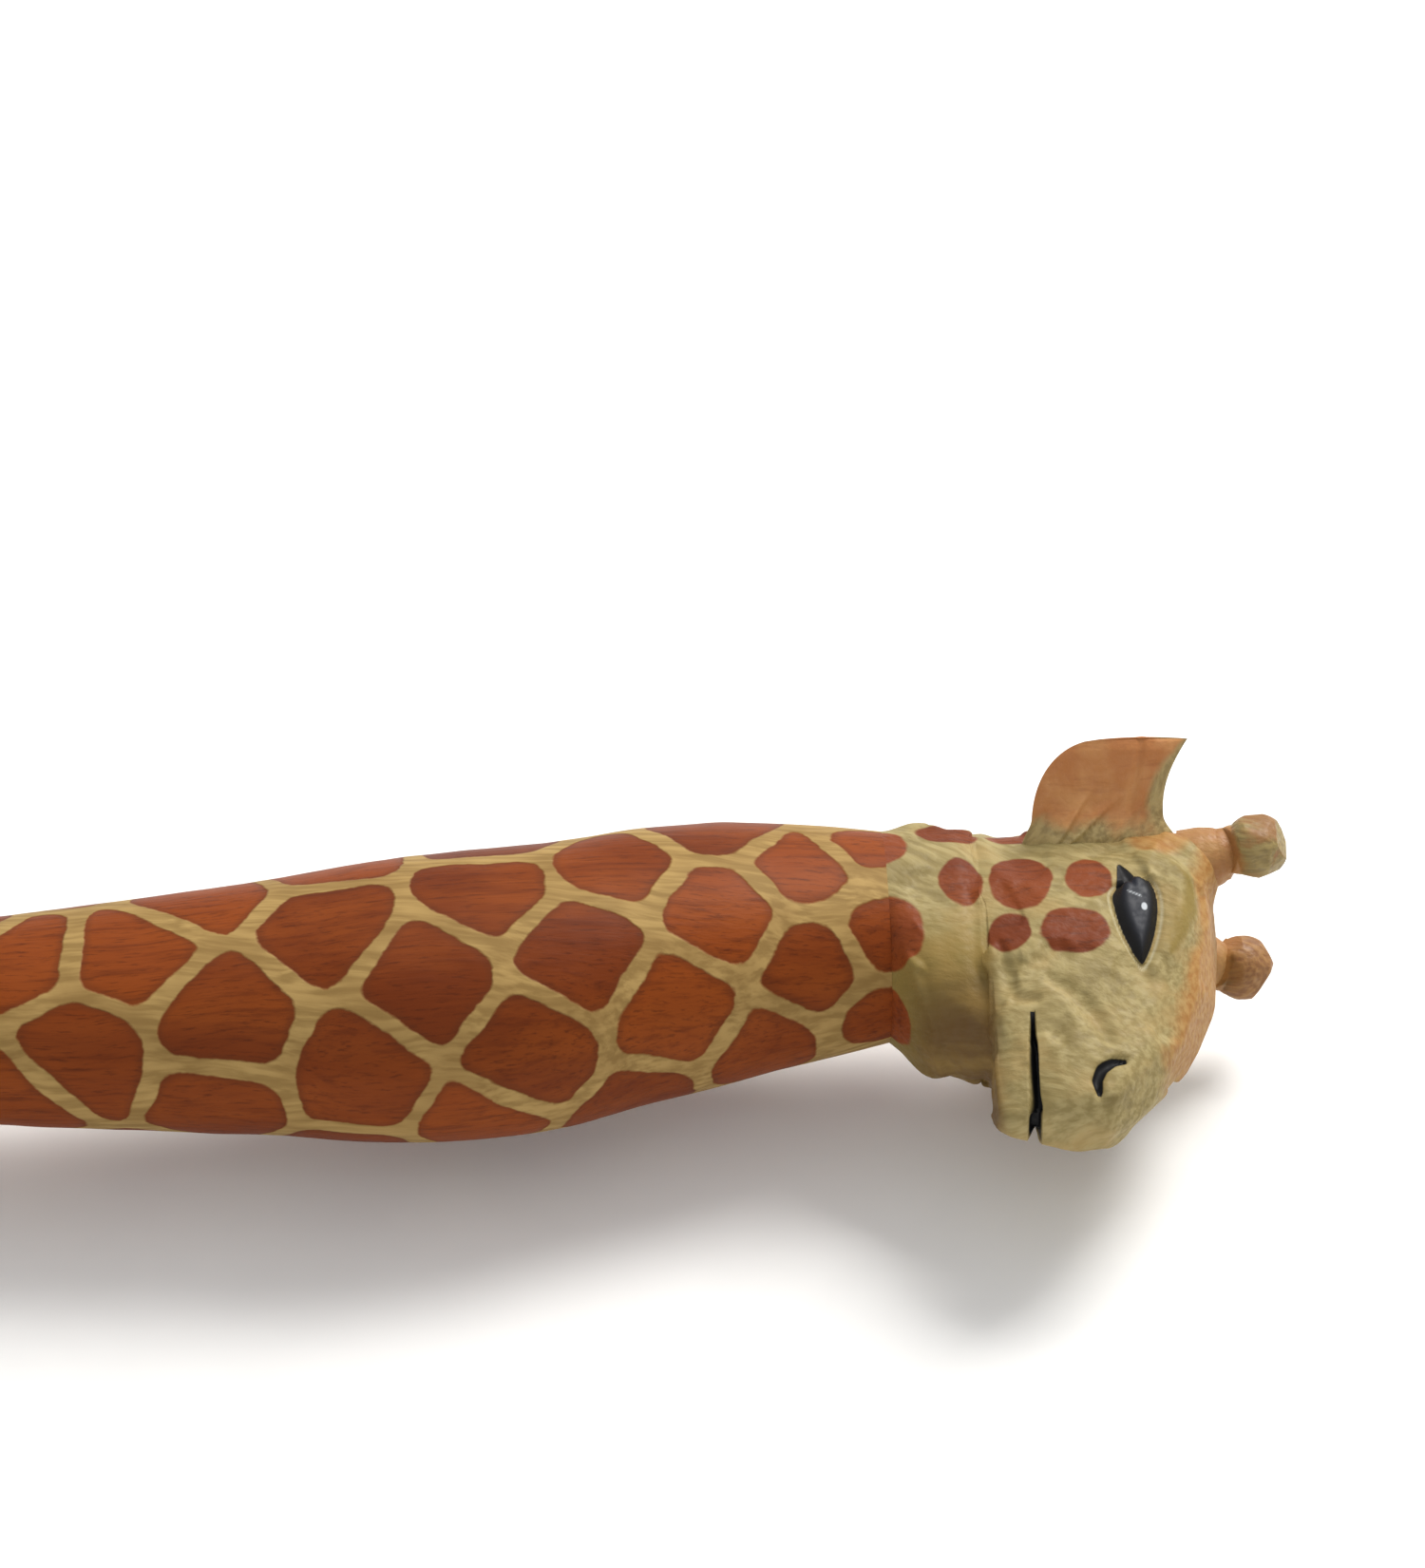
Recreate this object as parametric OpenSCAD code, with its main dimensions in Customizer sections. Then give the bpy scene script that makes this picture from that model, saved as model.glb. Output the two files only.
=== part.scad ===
// Giraffe back scratcher, carved in wood: a painted neck and head for a handle,
// a plain stained shaft, and a hooked rake. It lies on its left side.
// X runs along the tool towards the head, Y towards the giraffe's back, Z up to its right side.
// The origin is under the middle of the whole tool, on the surface that it lies on.

/* [Overall] */
// Length from the rake's outer end to the tips of the horns
total_l = 465; // [400:5:540]

/* [Shaft and paddle] */
// Width of the shaft where it meets the paddle's flare
shaft_w_far = 16; // [12:0.5:22]
// Width of the shaft where it meets the neck
shaft_w_near = 12; // [10:0.5:16]
// Thickness of the shaft, front to back
shaft_t = 8.5; // [7.5:0.5:12]
// Width of the flat paddle
paddle_w = 34.7; // [28:0.1:44]
// Thickness of the paddle, front to back
paddle_t = 11; // [9:0.5:14]
// Length of the paddle's flat part on the shaft
paddle_l = 21; // [14:1:34]
// Length of the curved flare from the shaft out to the paddle
flare_l = 15; // [8:1:24]

/* [Rake] */
// Length of the glued-on rake block along the tool
rake_l = 20; // [19:1:26]
// Height of the hook's lip above the paddle's face
rake_h = 12; // [8:0.5:16]
// Thickness of the hook's lip
lip_t = 2.6; // [2:0.2:5]
// Distance from the rake's end to the root of the hook
root_x = 12.5; // [11:0.5:15]
// Depth of the scoop cut into the paddle's face at the root
scoop_depth = 1.5; // [0.5:0.5:3]
// Length of the rounded corner at the back of the rake
heel_l = 8.7; // [5:0.1:10]
// How far the lip leans in from the rake's outermost point
lip_lean = 1.8; // [0:0.2:3]
// Number of shallow flutes that make the scratching teeth
flute_count = 6; // [3:1:9]
// Radius of the gouge that cuts the flutes
flute_r = 3.2; // [2:0.1:5]
// Depth of each flute
flute_depth = 0.7; // [0.3:0.1:1.2]

/* [Neck] */
// Length of the neck, from the shaft to the head
neck_l = 221; // [180:1:260]
// Width of the neck at its thickest
neck_w = 38; // [32:1:46]
// Depth of the neck at its thickest, throat to mane
neck_d = 48; // [40:1:56]
// How far the top of the neck stands behind the shaft's axis
neck_shift = 12; // [6:0.5:16]

/* [Head] */
// Height of the forehead above the neck joint
skull_h = 48.3; // [46:0.1:50]
// Width of the skull across the cheeks
skull_w = 31.6; // [29:0.2:35]
// Width of the muzzle at its end
muzzle_w = 19; // [15:0.5:24]
// Height of the muzzle's upper edge above the neck joint
muzzle_h = 33.5; // [31:0.5:36]
// How far the muzzle reaches in front of the shaft's axis
muzzle_reach = 33.3; // [28:0.1:38]
// Height of the mouth slit above the neck joint
mouth_h = 19.1; // [18:0.1:20.5]
// Width of the mouth slit
mouth_gap = 1; // [0.6:0.1:1.6]
// Length of the mouth slit, from the lips back
mouth_l = 15; // [8:1:18]

/* [Ears] */
// Length of the ear's root along the tool
ear_root_l = 19.5; // [14:0.5:22]
// Reach of the ear from its seat to its tip
ear_l = 15.2; // [11:0.1:18]
// How far the ear's tip runs on past its root
ear_tip_lead = 4.8; // [0:0.2:6]
// Thickness of the ear at its root
ear_t = 4; // [3.8:0.1:6]
// Backward slant of the ear, in degrees
ear_back = 22; // [10:1:30]
// Height of the middle of the ear's root above the neck joint
ear_h = 32.5; // [28:0.5:34]
// Distance of the ear's root behind the neck's axis
ear_behind = 7; // [4:0.1:9]
// Depth of the flat seat cut into the skull for the ear
ear_sink = 0.6; // [0.3:0.1:1.5]
// Diameter of the peg on the ear
ear_peg_d = 3.4; // [2.4:0.1:3.6]
// Length of the peg on the ear
ear_peg_l = 8; // [5:1:9]

/* [Horns] */
// Radius of the horn's round knob
knob_r = 4.9; // [4:0.1:5.6]
// Length of the right horn from its seat to the middle of the knob
horn_l = 9.3; // [8:0.1:11]
// How much shorter the left horn is
horn_odds = 1.4; // [0:0.1:2]
// Outward tilt of the horn, in degrees
horn_tilt = 15; // [0:1:20]
// Distance between the middles of the horns' seats
horn_roots = 19.4; // [16:0.2:21]
// Distance of the horns behind the neck's axis
horn_behind = 3.7; // [0:0.1:5]
// Depth of the flat seat cut into the skull for the horn
horn_sink = 0.4; // [0.2:0.1:1]
// Diameter of the horn's tenon
tenon_d = 4.4; // [3:0.1:5]
// Length of the horn's tenon
tenon_l = 9; // [6:0.5:10]

/* [Dowels] */
// Diameter of the dowel between the shaft and the neck
shaft_dowel_d = 5; // [4:0.5:5.5]
// Length of the dowel between the shaft and the neck
shaft_dowel_l = 38; // [24:2:50]
// Diameter of the dowel between the neck and the head
head_dowel_d = 10; // [6:0.5:12]
// Length of the dowel between the neck and the head
head_dowel_l = 32; // [20:1:32]
// Diameter of the two pins that hold the rake
rake_pin_d = 4; // [3:0.5:5]
// Length of the two pins that hold the rake
rake_pin_l = 14; // [10:1:16]
// Gap for glue round each dowel, peg and tenon
glue_gap = 0.05; // [0.02:0.01:0.1]
// Gap left past the end of each dowel, peg and tenon
end_gap = 0.5; // [0.2:0.1:1]

/* [Hidden] */

stain = "#8a4518";
cream = "#b3a77c";
tan = "#c08850";
beech = "#cfa878";
round_fn = 28;

// The neck's stations: share of its length, of its side swell, of its depth swell and of its
// backward shift, and how square its section is (2 is an ellipse)
NECK_STATIONS = [
    [0.00, 0.00, 0.00, 0.00, 4.0],
    [0.09, 0.14, 0.22, 0.00, 3.0],
    [0.23, 0.35, 0.44, 0.00, 2.4],
    [0.41, 0.58, 0.65, 0.00, 2.2],
    [0.57, 0.81, 0.83, 0.06, 2.1],
    [0.72, 1.00, 1.00, 0.18, 2.1],
    [0.85, 0.96, 0.91, 0.66, 2.1],
    [0.93, 0.82, 0.78, 0.90, 2.1],
    [1.00, 0.66, 0.62, 1.00, 2.1]
];
neck_steps = 3;
neck_sides = 28;
neck_last = len(NECK_STATIONS) - 2;

// The head's stations: height above the neck joint, front and back of the section, its half
// widths at the front and at the back, and how square it is
top_front = neck_shift_at(neck_last, 1) - neck_depth_at(neck_last, 1);
top_back = neck_shift_at(neck_last, 1) + neck_depth_at(neck_last, 1);
top_w = neck_width_at(neck_last, 1);
skull_back = top_back - 0.8;
lip_w = muzzle_w / 2;
cheek_w = skull_w / 2;
HEAD_STATIONS = [
    [0, top_front, top_back, top_w, top_w, 2.1],
    [5, top_front - 7.5, top_back + 0.2, top_w - 1.5, top_w, 2.5],
    [11, top_front - 11.5, top_back - 0.4, top_w - 3, top_w + 0.4, 2.7],
    [mouth_h - 5.8, top_front - 12, skull_back, lip_w + 1, cheek_w - 1.2, 2.7],
    [mouth_h - 5.2, 4 - muzzle_reach, skull_back, lip_w - 2.2, cheek_w - 1.2, 2.7],
    [mouth_h - 3, 1.6 - muzzle_reach, skull_back, lip_w - 1.4, cheek_w - 1, 2.7],
    [mouth_h, 1.2 - muzzle_reach, skull_back, lip_w - 1, cheek_w - 0.8, 2.7],
    [mouth_h + 4, -muzzle_reach, skull_back, lip_w, cheek_w - 0.5, 2.7],
    [muzzle_h - 3, 0.8 - muzzle_reach, skull_back, lip_w - 0.5, cheek_w, 2.7],
    [muzzle_h, 3.8 - muzzle_reach, skull_back, lip_w - 1.2, cheek_w, 2.7],
    [skull_h - 9.8, 9.6 - muzzle_reach, skull_back - 0.5, lip_w - 1.2, cheek_w, 2.7],
    [skull_h - 5.3, 17.6 - muzzle_reach, skull_back - 2.3, lip_w - 0.2, cheek_w - 1, 2.7],
    [skull_h - 2.2, 25 - muzzle_reach, skull_back - 5, lip_w - 0.8, cheek_w - 3.6, 2.7],
    [skull_h - 0.5, 31.3 - muzzle_reach, skull_back - 8.5, lip_w - 3.5, cheek_w - 6.8, 2.7],
    [skull_h, 35.3 - muzzle_reach, skull_back - 13, lip_w - 6.5, cheek_w - 11, 2.7]
];
head_sides = 36;

function neck_width_at(i, q) =
    (shaft_w_near + (neck_w - shaft_w_near) * between(NECK_STATIONS, i, 1, q)) / 2;
function neck_depth_at(i, q) =
    (shaft_t + (neck_d - shaft_t) * between(NECK_STATIONS, i, 2, q)) / 2;
function neck_shift_at(i, q) = neck_shift * between(NECK_STATIONS, i, 3, q);
function neck_section(i, q) = section(
    neck_width_at(i, q),
    neck_depth_at(i, q),
    neck_shift_at(i, q),
    between(NECK_STATIONS, i, 4, q)
);

// The head's half width at a place from front (0) to back (1) of a section
function head_half(s, u) =
    (s[3] + (s[4] - s[3]) * (1 - cos(180 * min(1, u * 1.5))) / 2)
    * pow(max(0, 1 - pow(abs(2 * u - 1), s[5])), 1 / s[5]);
function head_section(s) = [
    for (k = [0:head_sides - 1])
        let (a = 360 * k / head_sides, u = (1 - cos(a)) / 2)
        [s[1] + (s[2] - s[1]) * u, sign(180 - a) * head_half(s, u)]
];

// The head's stations blended at a height above the neck joint, and what is found there
function head_at(h) =
    let (i = max([for (k = [0:len(HEAD_STATIONS) - 2]) if (HEAD_STATIONS[k][0] <= h) k]),
         q = (h - HEAD_STATIONS[i][0]) / (HEAD_STATIONS[i + 1][0] - HEAD_STATIONS[i][0]))
    HEAD_STATIONS[i] * (1 - q) + HEAD_STATIONS[i + 1] * q;
function head_side(h, y) =
    let (s = head_at(h), u = (y - s[1]) / (s[2] - s[1]))
    u <= 0 || u >= 1 ? 0 : head_half(s, u);
function head_top(y, z) = max([for (h = [muzzle_h:0.1:skull_h]) if (head_side(h, y) >= z) h]);

// Seats of the ears and horns on the head's surface, and the height of head and horns together
ear_y = neck_shift + ear_behind;
horn_y = neck_shift + horn_behind;
ear_seat_z = head_side(ear_h, ear_y) - ear_sink;
horn_seat_h = head_top(horn_y, horn_roots / 2) - horn_sink;
head_l = horn_seat_h + horn_l * cos(horn_tilt) + knob_r;

// The tool's outer limits sideways, back and front
ear_tip_r = 1.4;
side_reach = ear_seat_z + (ear_l - ear_tip_r) * cos(ear_back) + ear_tip_r;
neck_back = max([for (i = [0:neck_last], k = [0:neck_steps - 1])
    neck_depth_at(i, k / neck_steps) + neck_shift_at(i, k / neck_steps)]);
mid_y = (neck_back - muzzle_reach) / 2;

// Smooth value of one column of a station list between stations i and i + 1
function slope(list, i, col) =
    let (a = max(i - 1, 0), b = min(i + 1, len(list) - 1))
    (list[b][col] - list[a][col]) / (list[b][0] - list[a][0]);
function between(list, i, col, q) =
    let (w = list[i + 1][0] - list[i][0], u = q * q * (3 - 2 * q))
    list[i][col] * (1 - u) + list[i + 1][col] * u
    + w * q * (1 - q) * (slope(list, i, col) * (1 - q) - slope(list, i + 1, col) * q);

// Outline of a section, with its middle at [y, 0], as [y, z] points
function signed_power(v, p) = sign(v) * pow(abs(v), p);
function section(half_w, half_d, y, square) = [
    for (k = [0:neck_sides - 1])
        let (a = 360 * k / neck_sides)
        [y - half_d * signed_power(cos(a), 2 / square), half_w * signed_power(sin(a), 2 / square)]
];

// Places along the tool
x_rake = -total_l / 2;
x_paddle = x_rake + rake_l;
x_head = total_l / 2 - head_l;
x_neck = x_head - neck_l;
x_flare = x_paddle + paddle_l;
x_shaft = x_flare + flare_l;

// Half sizes and the front of the paddle
front_y = -paddle_t / 2;
back_y = paddle_t / 2;
tip_y = front_y - rake_h;

// Everything is drawn round the shaft's axis, then laid down with its lowest point at zero
module laid() {
    translate([0, -mid_y, side_reach])
        children();
}

// A rod or bore along X, from x
module rod(x, y, z, d, l) {
    translate([x, y, z])
        rotate([0, 90, 0])
            cylinder(h = l, d = d, $fn = 48);
}

module shaft_dowel_hole() {
    rod(x_neck - (shaft_dowel_l + end_gap) / 2, 0, 0, shaft_dowel_d + 2 * glue_gap,
        shaft_dowel_l + end_gap);
}

module head_dowel_hole() {
    rod(x_head - (head_dowel_l + end_gap) / 2, neck_shift, 0, head_dowel_d + 2 * glue_gap,
        head_dowel_l + end_gap);
}

module rake_pin_holes() {
    for (side = [-1, 1])
        rod(x_paddle - (rake_pin_l + end_gap) / 2, 0, side * paddle_w / 4,
            rake_pin_d + 2 * glue_gap, rake_pin_l + end_gap);
}

// Plan of the shaft and paddle: half width at each place along it
function flare_points(side) = [
    for (k = [0:8])
        let (a = 90 * k / 8)
        [x_shaft - flare_l * k / 8,
         side * (shaft_w_far / 2 + (paddle_w - shaft_w_far) / 2 * (1 - cos(a)))]
];

module shaft_plan() {
    polygon(concat(
        [[x_neck, shaft_w_near / 2]],
        flare_points(1),
        [[x_paddle, paddle_w / 2], [x_paddle, -paddle_w / 2]],
        [for (k = [8:-1:0]) flare_points(-1)[k]],
        [[x_neck, -shaft_w_near / 2]]
    ));
}

module shaft_side() {
    polygon([
        [x_neck, -shaft_t / 2], [x_shaft, -shaft_t / 2], [x_flare, front_y], [x_paddle, front_y],
        [x_paddle, back_y], [x_flare, back_y], [x_shaft, shaft_t / 2], [x_neck, shaft_t / 2]
    ]);
}

module shaft() {
    color(stain)
        laid()
            difference() {
                intersection() {
                    rotate([90, 0, 0])
                        linear_extrude(height = 2 * paddle_t, center = true)
                            shaft_plan();
                    linear_extrude(height = 2 * paddle_w, center = true)
                        shaft_side();
                }
                shaft_dowel_hole();
                rake_pin_holes();
            }
}

// Side view of the rake: flat back, rounded heel, leaning hook and scooped root
module rake_side() {
    heel_y = tip_y + 0.55 * rake_h;
    polygon(concat(
        [[x_paddle, back_y]],
        [for (k = [0:8])
            let (a = 90 * k / 8)
            [x_rake + heel_l * (1 - pow(sin(a), 1.4)), heel_y + (back_y - heel_y) * pow(cos(a), 1.4)]],
        [[x_rake + lip_lean, tip_y], [x_rake + lip_lean + lip_t, tip_y],
         [x_rake + root_x, front_y + scoop_depth],
         [x_rake + rake_l - 1, front_y], [x_paddle, front_y]]
    ));
}

// Gouge cuts down the inner face of the hook, side by side across its width
module flutes() {
    face_x = root_x - lip_lean - lip_t;
    face_y = rake_h + scoop_depth;
    lean = -atan2(face_x, face_y);
    pitch = paddle_w / flute_count;
    for (k = [0:flute_count - 1])
        translate([x_rake + lip_lean + lip_t, tip_y, pitch * (k + 0.5) - paddle_w / 2])
            rotate([0, 0, lean])
                translate([flute_r - flute_depth, 0, 0])
                    rotate([90, 0, 0])
                        cylinder(h = face_y, r = flute_r, center = true, $fn = 48);
}

module rake() {
    color(stain)
        laid()
            difference() {
                linear_extrude(height = paddle_w, center = true)
                    rake_side();
                flutes();
                rake_pin_holes();
            }
}

module neck() {
    rings = concat(
        [for (i = [0:neck_last], k = [0:neck_steps - 1])
            let (q = k / neck_steps, x = x_neck + neck_l * (NECK_STATIONS[i][0] * (1 - q)
                + NECK_STATIONS[i + 1][0] * q))
            [for (p = neck_section(i, q)) [x, p[0], p[1]]]],
        [[for (p = neck_section(neck_last, 1)) [x_head, p[0], p[1]]]]
    );
    top = len(rings) - 1;
    n = neck_sides;
    color(cream)
        laid()
            difference() {
                polyhedron(
                    points = [for (ring = rings, p = ring) p],
                    faces = concat(
                        [[for (k = [0:n - 1]) k]],
                        [[for (k = [n - 1:-1:0]) top * n + k]],
                        [for (j = [0:top - 1], k = [0:n - 1])
                            [j * n + k, (j + 1) * n + k, (j + 1) * n + (k + 1) % n,
                             j * n + (k + 1) % n]]
                    ),
                    convexity = 4
                );
                shaft_dowel_hole();
                head_dowel_hole();
            }
}

// The head as one closed skin over its sections, from the neck joint up to the crown
module head_skin() {
    n = head_sides;
    top = len(HEAD_STATIONS) - 1;
    polyhedron(
        points = [for (s = HEAD_STATIONS, p = head_section(s)) [x_head + s[0], p[0], p[1]]],
        faces = concat(
            [[for (k = [0:n - 1]) k]],
            [[for (k = [n - 1:-1:0]) top * n + k]],
            [for (j = [0:top - 1], k = [0:n - 1])
                [j * n + k, (j + 1) * n + k, (j + 1) * n + (k + 1) % n, j * n + (k + 1) % n]]
        ),
        convexity = 4
    );
}

module mouth_slit() {
    translate([x_head + mouth_h, -muzzle_reach - 1, -muzzle_w])
        cube([mouth_gap, mouth_l + 1, 2 * muzzle_w]);
}

// Where an ear is fixed: its own Z leaves the head, its own X runs along the tool
module at_ear(side) {
    mirror([0, 0, side < 0 ? 1 : 0])
        translate([x_head + ear_h, ear_y, ear_seat_z])
            rotate([-ear_back, 0, 0])
                children();
}

module ear_seats() {
    for (side = [-1, 1])
        at_ear(side) {
            translate([-ear_root_l / 2 - glue_gap, -ear_t, 0])
                cube([ear_root_l + 2 * glue_gap, 2 * ear_t, ear_l]);
            translate([0, 0, -ear_peg_l - end_gap])
                cylinder(h = ear_peg_l + end_gap + 1, d = ear_peg_d + 2 * glue_gap, $fn = 32);
        }
}

// Where a horn is fixed: its own Z runs up the horn from its seat
module at_horn(side) {
    mirror([0, 0, side < 0 ? 1 : 0])
        translate([x_head + horn_seat_h, horn_y, horn_roots / 2])
            rotate([0, 90 - horn_tilt, 0])
                children();
}

module horn_seats() {
    for (side = [-1, 1])
        at_horn(side) {
            cylinder(h = horn_l, r = knob_r, $fn = 32);
            translate([0, 0, -tenon_l - end_gap])
                cylinder(h = tenon_l + end_gap + 1, d = tenon_d + 2 * glue_gap, $fn = 32);
        }
}

module head() {
    color(cream)
        laid()
            difference() {
                head_skin();
                mouth_slit();
                head_dowel_hole();
                ear_seats();
                horn_seats();
            }
}

// One ear: a flat leaf with a straight top edge and a sharp upper corner, on a round peg
module ear(side) {
    root_r = ear_t / 2;
    root_x = ear_root_l / 2 - root_r;
    edge_r = ear_tip_r;
    color(tan)
        laid()
            at_ear(side) {
                difference() {
                    hull() {
                        for (end = [-1, 1])
                            translate([end * root_x, 0, 1.2])
                                sphere(r = root_r, $fn = round_fn);
                        translate([0.7 - root_x, 0, ear_l * 0.36])
                            sphere(r = edge_r, $fn = round_fn);
                        translate([-root_x / 2, 0, ear_l * 0.68])
                            sphere(r = edge_r, $fn = round_fn);
                        translate([0.5, 0, ear_l - edge_r])
                            sphere(r = edge_r, $fn = round_fn);
                        translate([root_x + ear_tip_lead, 0, ear_l - 0.8])
                            sphere(r = 0.8, $fn = round_fn);
                    }
                    translate([-ear_root_l, -ear_t, -ear_t])
                        cube([2 * ear_root_l, 2 * ear_t, ear_t]);
                }
                translate([0, 0, -ear_peg_l])
                    cylinder(h = ear_peg_l + 1, d = ear_peg_d, $fn = 32);
            }
}

module right_ear() {
    ear(1);
}

module left_ear() {
    ear(-1);
}

// One horn: a waisted stem with a round knob, on a round tenon
module horn(side) {
    seat_r = knob_r - 0.4;
    waist_r = knob_r - 1.3;
    stem_l = side < 0 ? horn_l - horn_odds : horn_l;
    color(cream)
        laid()
            at_horn(side) {
                translate([0, 0, stem_l])
                    sphere(r = knob_r, $fn = 48);
                cylinder(h = stem_l / 2, r1 = seat_r, r2 = waist_r, $fn = 48);
                translate([0, 0, stem_l / 2])
                    cylinder(h = stem_l / 2, r = waist_r, $fn = 48);
                translate([0, 0, -tenon_l])
                    cylinder(h = tenon_l, d = tenon_d, $fn = 48);
            }
}

module right_horn() {
    horn(1);
}

module left_horn() {
    horn(-1);
}

module shaft_dowel() {
    color(beech)
        laid()
            rod(x_neck - (shaft_dowel_l + end_gap) / 2, 0, 0, shaft_dowel_d, shaft_dowel_l);
}

module head_dowel() {
    color(beech)
        laid()
            rod(x_head - (head_dowel_l + end_gap) / 2, neck_shift, 0, head_dowel_d, head_dowel_l);
}

module rake_pins() {
    color(beech)
        laid()
            for (side = [-1, 1])
                rod(x_paddle - (rake_pin_l + end_gap) / 2, 0, side * paddle_w / 4, rake_pin_d,
                    rake_pin_l);
}

shaft();
rake();
neck();
head();
right_ear();
left_ear();
right_horn();
left_horn();
shaft_dowel();
head_dowel();
rake_pins();
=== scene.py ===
# %% [markdown]
# # A carved giraffe back scratcher
# The tool is a stick of wood with two ends. One end is a giraffe's neck and head, carved and
# painted, which is the handle. The other is a flat paddle that turns up into a hooked rake.
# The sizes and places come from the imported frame, so nothing is fitted by eye afterwards.

# %% Load the frame
import math

import bmesh
import bpy
import numpy as np
from mathutils import Matrix, Vector


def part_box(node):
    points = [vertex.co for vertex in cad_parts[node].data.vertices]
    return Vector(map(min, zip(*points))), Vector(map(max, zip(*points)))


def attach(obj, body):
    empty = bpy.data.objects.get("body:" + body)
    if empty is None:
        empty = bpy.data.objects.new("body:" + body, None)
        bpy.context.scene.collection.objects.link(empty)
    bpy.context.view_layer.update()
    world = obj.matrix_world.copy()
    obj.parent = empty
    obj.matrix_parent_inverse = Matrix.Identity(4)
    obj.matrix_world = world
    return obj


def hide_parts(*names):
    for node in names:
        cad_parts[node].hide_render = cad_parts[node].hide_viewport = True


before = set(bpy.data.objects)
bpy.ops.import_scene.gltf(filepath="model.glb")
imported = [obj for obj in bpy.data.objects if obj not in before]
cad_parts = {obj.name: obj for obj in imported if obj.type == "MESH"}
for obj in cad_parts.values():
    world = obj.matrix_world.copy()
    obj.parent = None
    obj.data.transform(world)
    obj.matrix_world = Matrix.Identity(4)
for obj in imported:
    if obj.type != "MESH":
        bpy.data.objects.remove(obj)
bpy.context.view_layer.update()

MM = 0.001
BLOCK = 20000  # points of a mesh that are worked on at a time
print("frame nodes:", sorted(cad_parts))

# %% [markdown]
# ## Landmarks
# Every shape below is measured from a few landmarks: the shaft's axis, the joint between the
# shaft and the neck, and the joint between the neck and the head. Reading them from the frame
# keeps the visual pieces where the joints and dowels are. Lengths are kept in millimetres while
# a shape is worked out, because that is how a carver thinks, and turned to metres at the end.

# %% Landmarks in millimetres
def node_box(name):
    low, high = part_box(name)
    return np.array(low) / MM, np.array(high) / MM


shaft_low, shaft_high = node_box("shaft")
rake_low, rake_high = node_box("rake")
neck_low, neck_high = node_box("neck")
head_low, head_high = node_box("head")
ear_low, ear_high = node_box("right_ear")
axis_y = (shaft_low[1] + shaft_high[1]) / 2
axis_z = (shaft_low[2] + shaft_high[2]) / 2
neck_x, head_x, neck_l = neck_low[0], neck_high[0], neck_high[0] - neck_low[0]
rake_root, root_y = 12.5, -4.0  # the hook's inner corner, from the rake's end and the axis
print("shaft axis at", round(axis_y, 2), round(axis_z, 2), "neck", round(neck_l, 1), "mm long")


def place(points):
    """Millimetres from the shaft's axis, with X along the whole tool, to metres in the frame."""
    return (np.asarray(points, float) + [0, axis_y, axis_z]) * MM


# %% [markdown]
# ## Small helpers
# A mesh here is two lists: points and faces. `make_piece` turns them into a smooth object at the
# origin, and `finish_piece` fixes the direction of the faces. A tube of rings appears several
# times, so its faces have a function too.

# %% Mesh helpers
def make_piece(name, points_mm, faces, **marks):
    mesh = bpy.data.meshes.new(name)
    mesh.from_pydata(place(points_mm).tolist(), [], faces)
    piece = bpy.data.objects.new(name, mesh)
    bpy.context.scene.collection.objects.link(piece)
    for mark, values in marks.items():
        store(piece, mark, values)
    return finish_piece(piece)


def finish_piece(piece):
    shape = bmesh.new()
    shape.from_mesh(piece.data)
    bmesh.ops.remove_doubles(shape, verts=shape.verts, dist=0.001 * MM)
    bmesh.ops.recalc_face_normals(shape, faces=shape.faces)
    shape.to_mesh(piece.data)
    shape.free()
    piece.data.polygons.foreach_set("use_smooth", [True] * len(piece.data.polygons))
    return piece


def tube_faces(rings, sides):
    """Quads between neighbouring rings, with both ends closed."""
    faces = [[ring * sides + k, ring * sides + (k + 1) % sides,
              (ring + 1) * sides + (k + 1) % sides, (ring + 1) * sides + k]
             for ring in range(rings - 1) for k in range(sides)]
    faces.append(list(range(sides))[::-1])
    faces.append([(rings - 1) * sides + k for k in range(sides)])
    return faces


def read_points(piece):
    flat = np.empty(len(piece.data.vertices) * 3)
    piece.data.vertices.foreach_get("co", flat)
    return flat.reshape(-1, 3) / MM - [0, axis_y, axis_z]


def write_points(piece, points_mm):
    piece.data.vertices.foreach_set("co", place(points_mm).ravel())
    piece.data.update()


def read_normals(piece):
    flat = np.empty(len(piece.data.vertices) * 3)
    piece.data.vertices.foreach_get("normal", flat)
    return flat.reshape(-1, 3)


def store(piece, name, values):
    """Keeps one number for each point of the mesh, for the materials to read."""
    layer = piece.data.attributes.new(name, "FLOAT", "POINT")
    layer.data.foreach_set("value", np.asarray(values, np.float32))


def smooth_step(low, high, x):
    t = np.clip((x - low) / (high - low), 0, 1)
    return t * t * (3 - 2 * t)


def apply_modifiers(piece):
    graph = bpy.context.evaluated_depsgraph_get()
    mesh = bpy.data.meshes.new_from_object(piece.evaluated_get(graph))
    piece.modifiers.clear()
    piece.data = mesh
    return piece


# %% [markdown]
# ## Node helpers
# Both Geometry Nodes and materials are built with the same few calls: `put` adds a node and
# fills its inputs, and `calc` adds one step of arithmetic. An input may be a number or the
# output of another node.

# %% Node helpers
def put(tree, kind, settings=None, **inputs):
    node = tree.nodes.new(kind)
    for key, value in (settings or {}).items():
        setattr(node, key, value)
    for key, value in inputs.items():
        fill(node.inputs[key.replace("_", " ")], value)
    return node


def fill(socket, value):
    if isinstance(value, bpy.types.NodeSocket):
        socket.id_data.links.new(value, socket)
    else:
        socket.default_value = value


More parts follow.
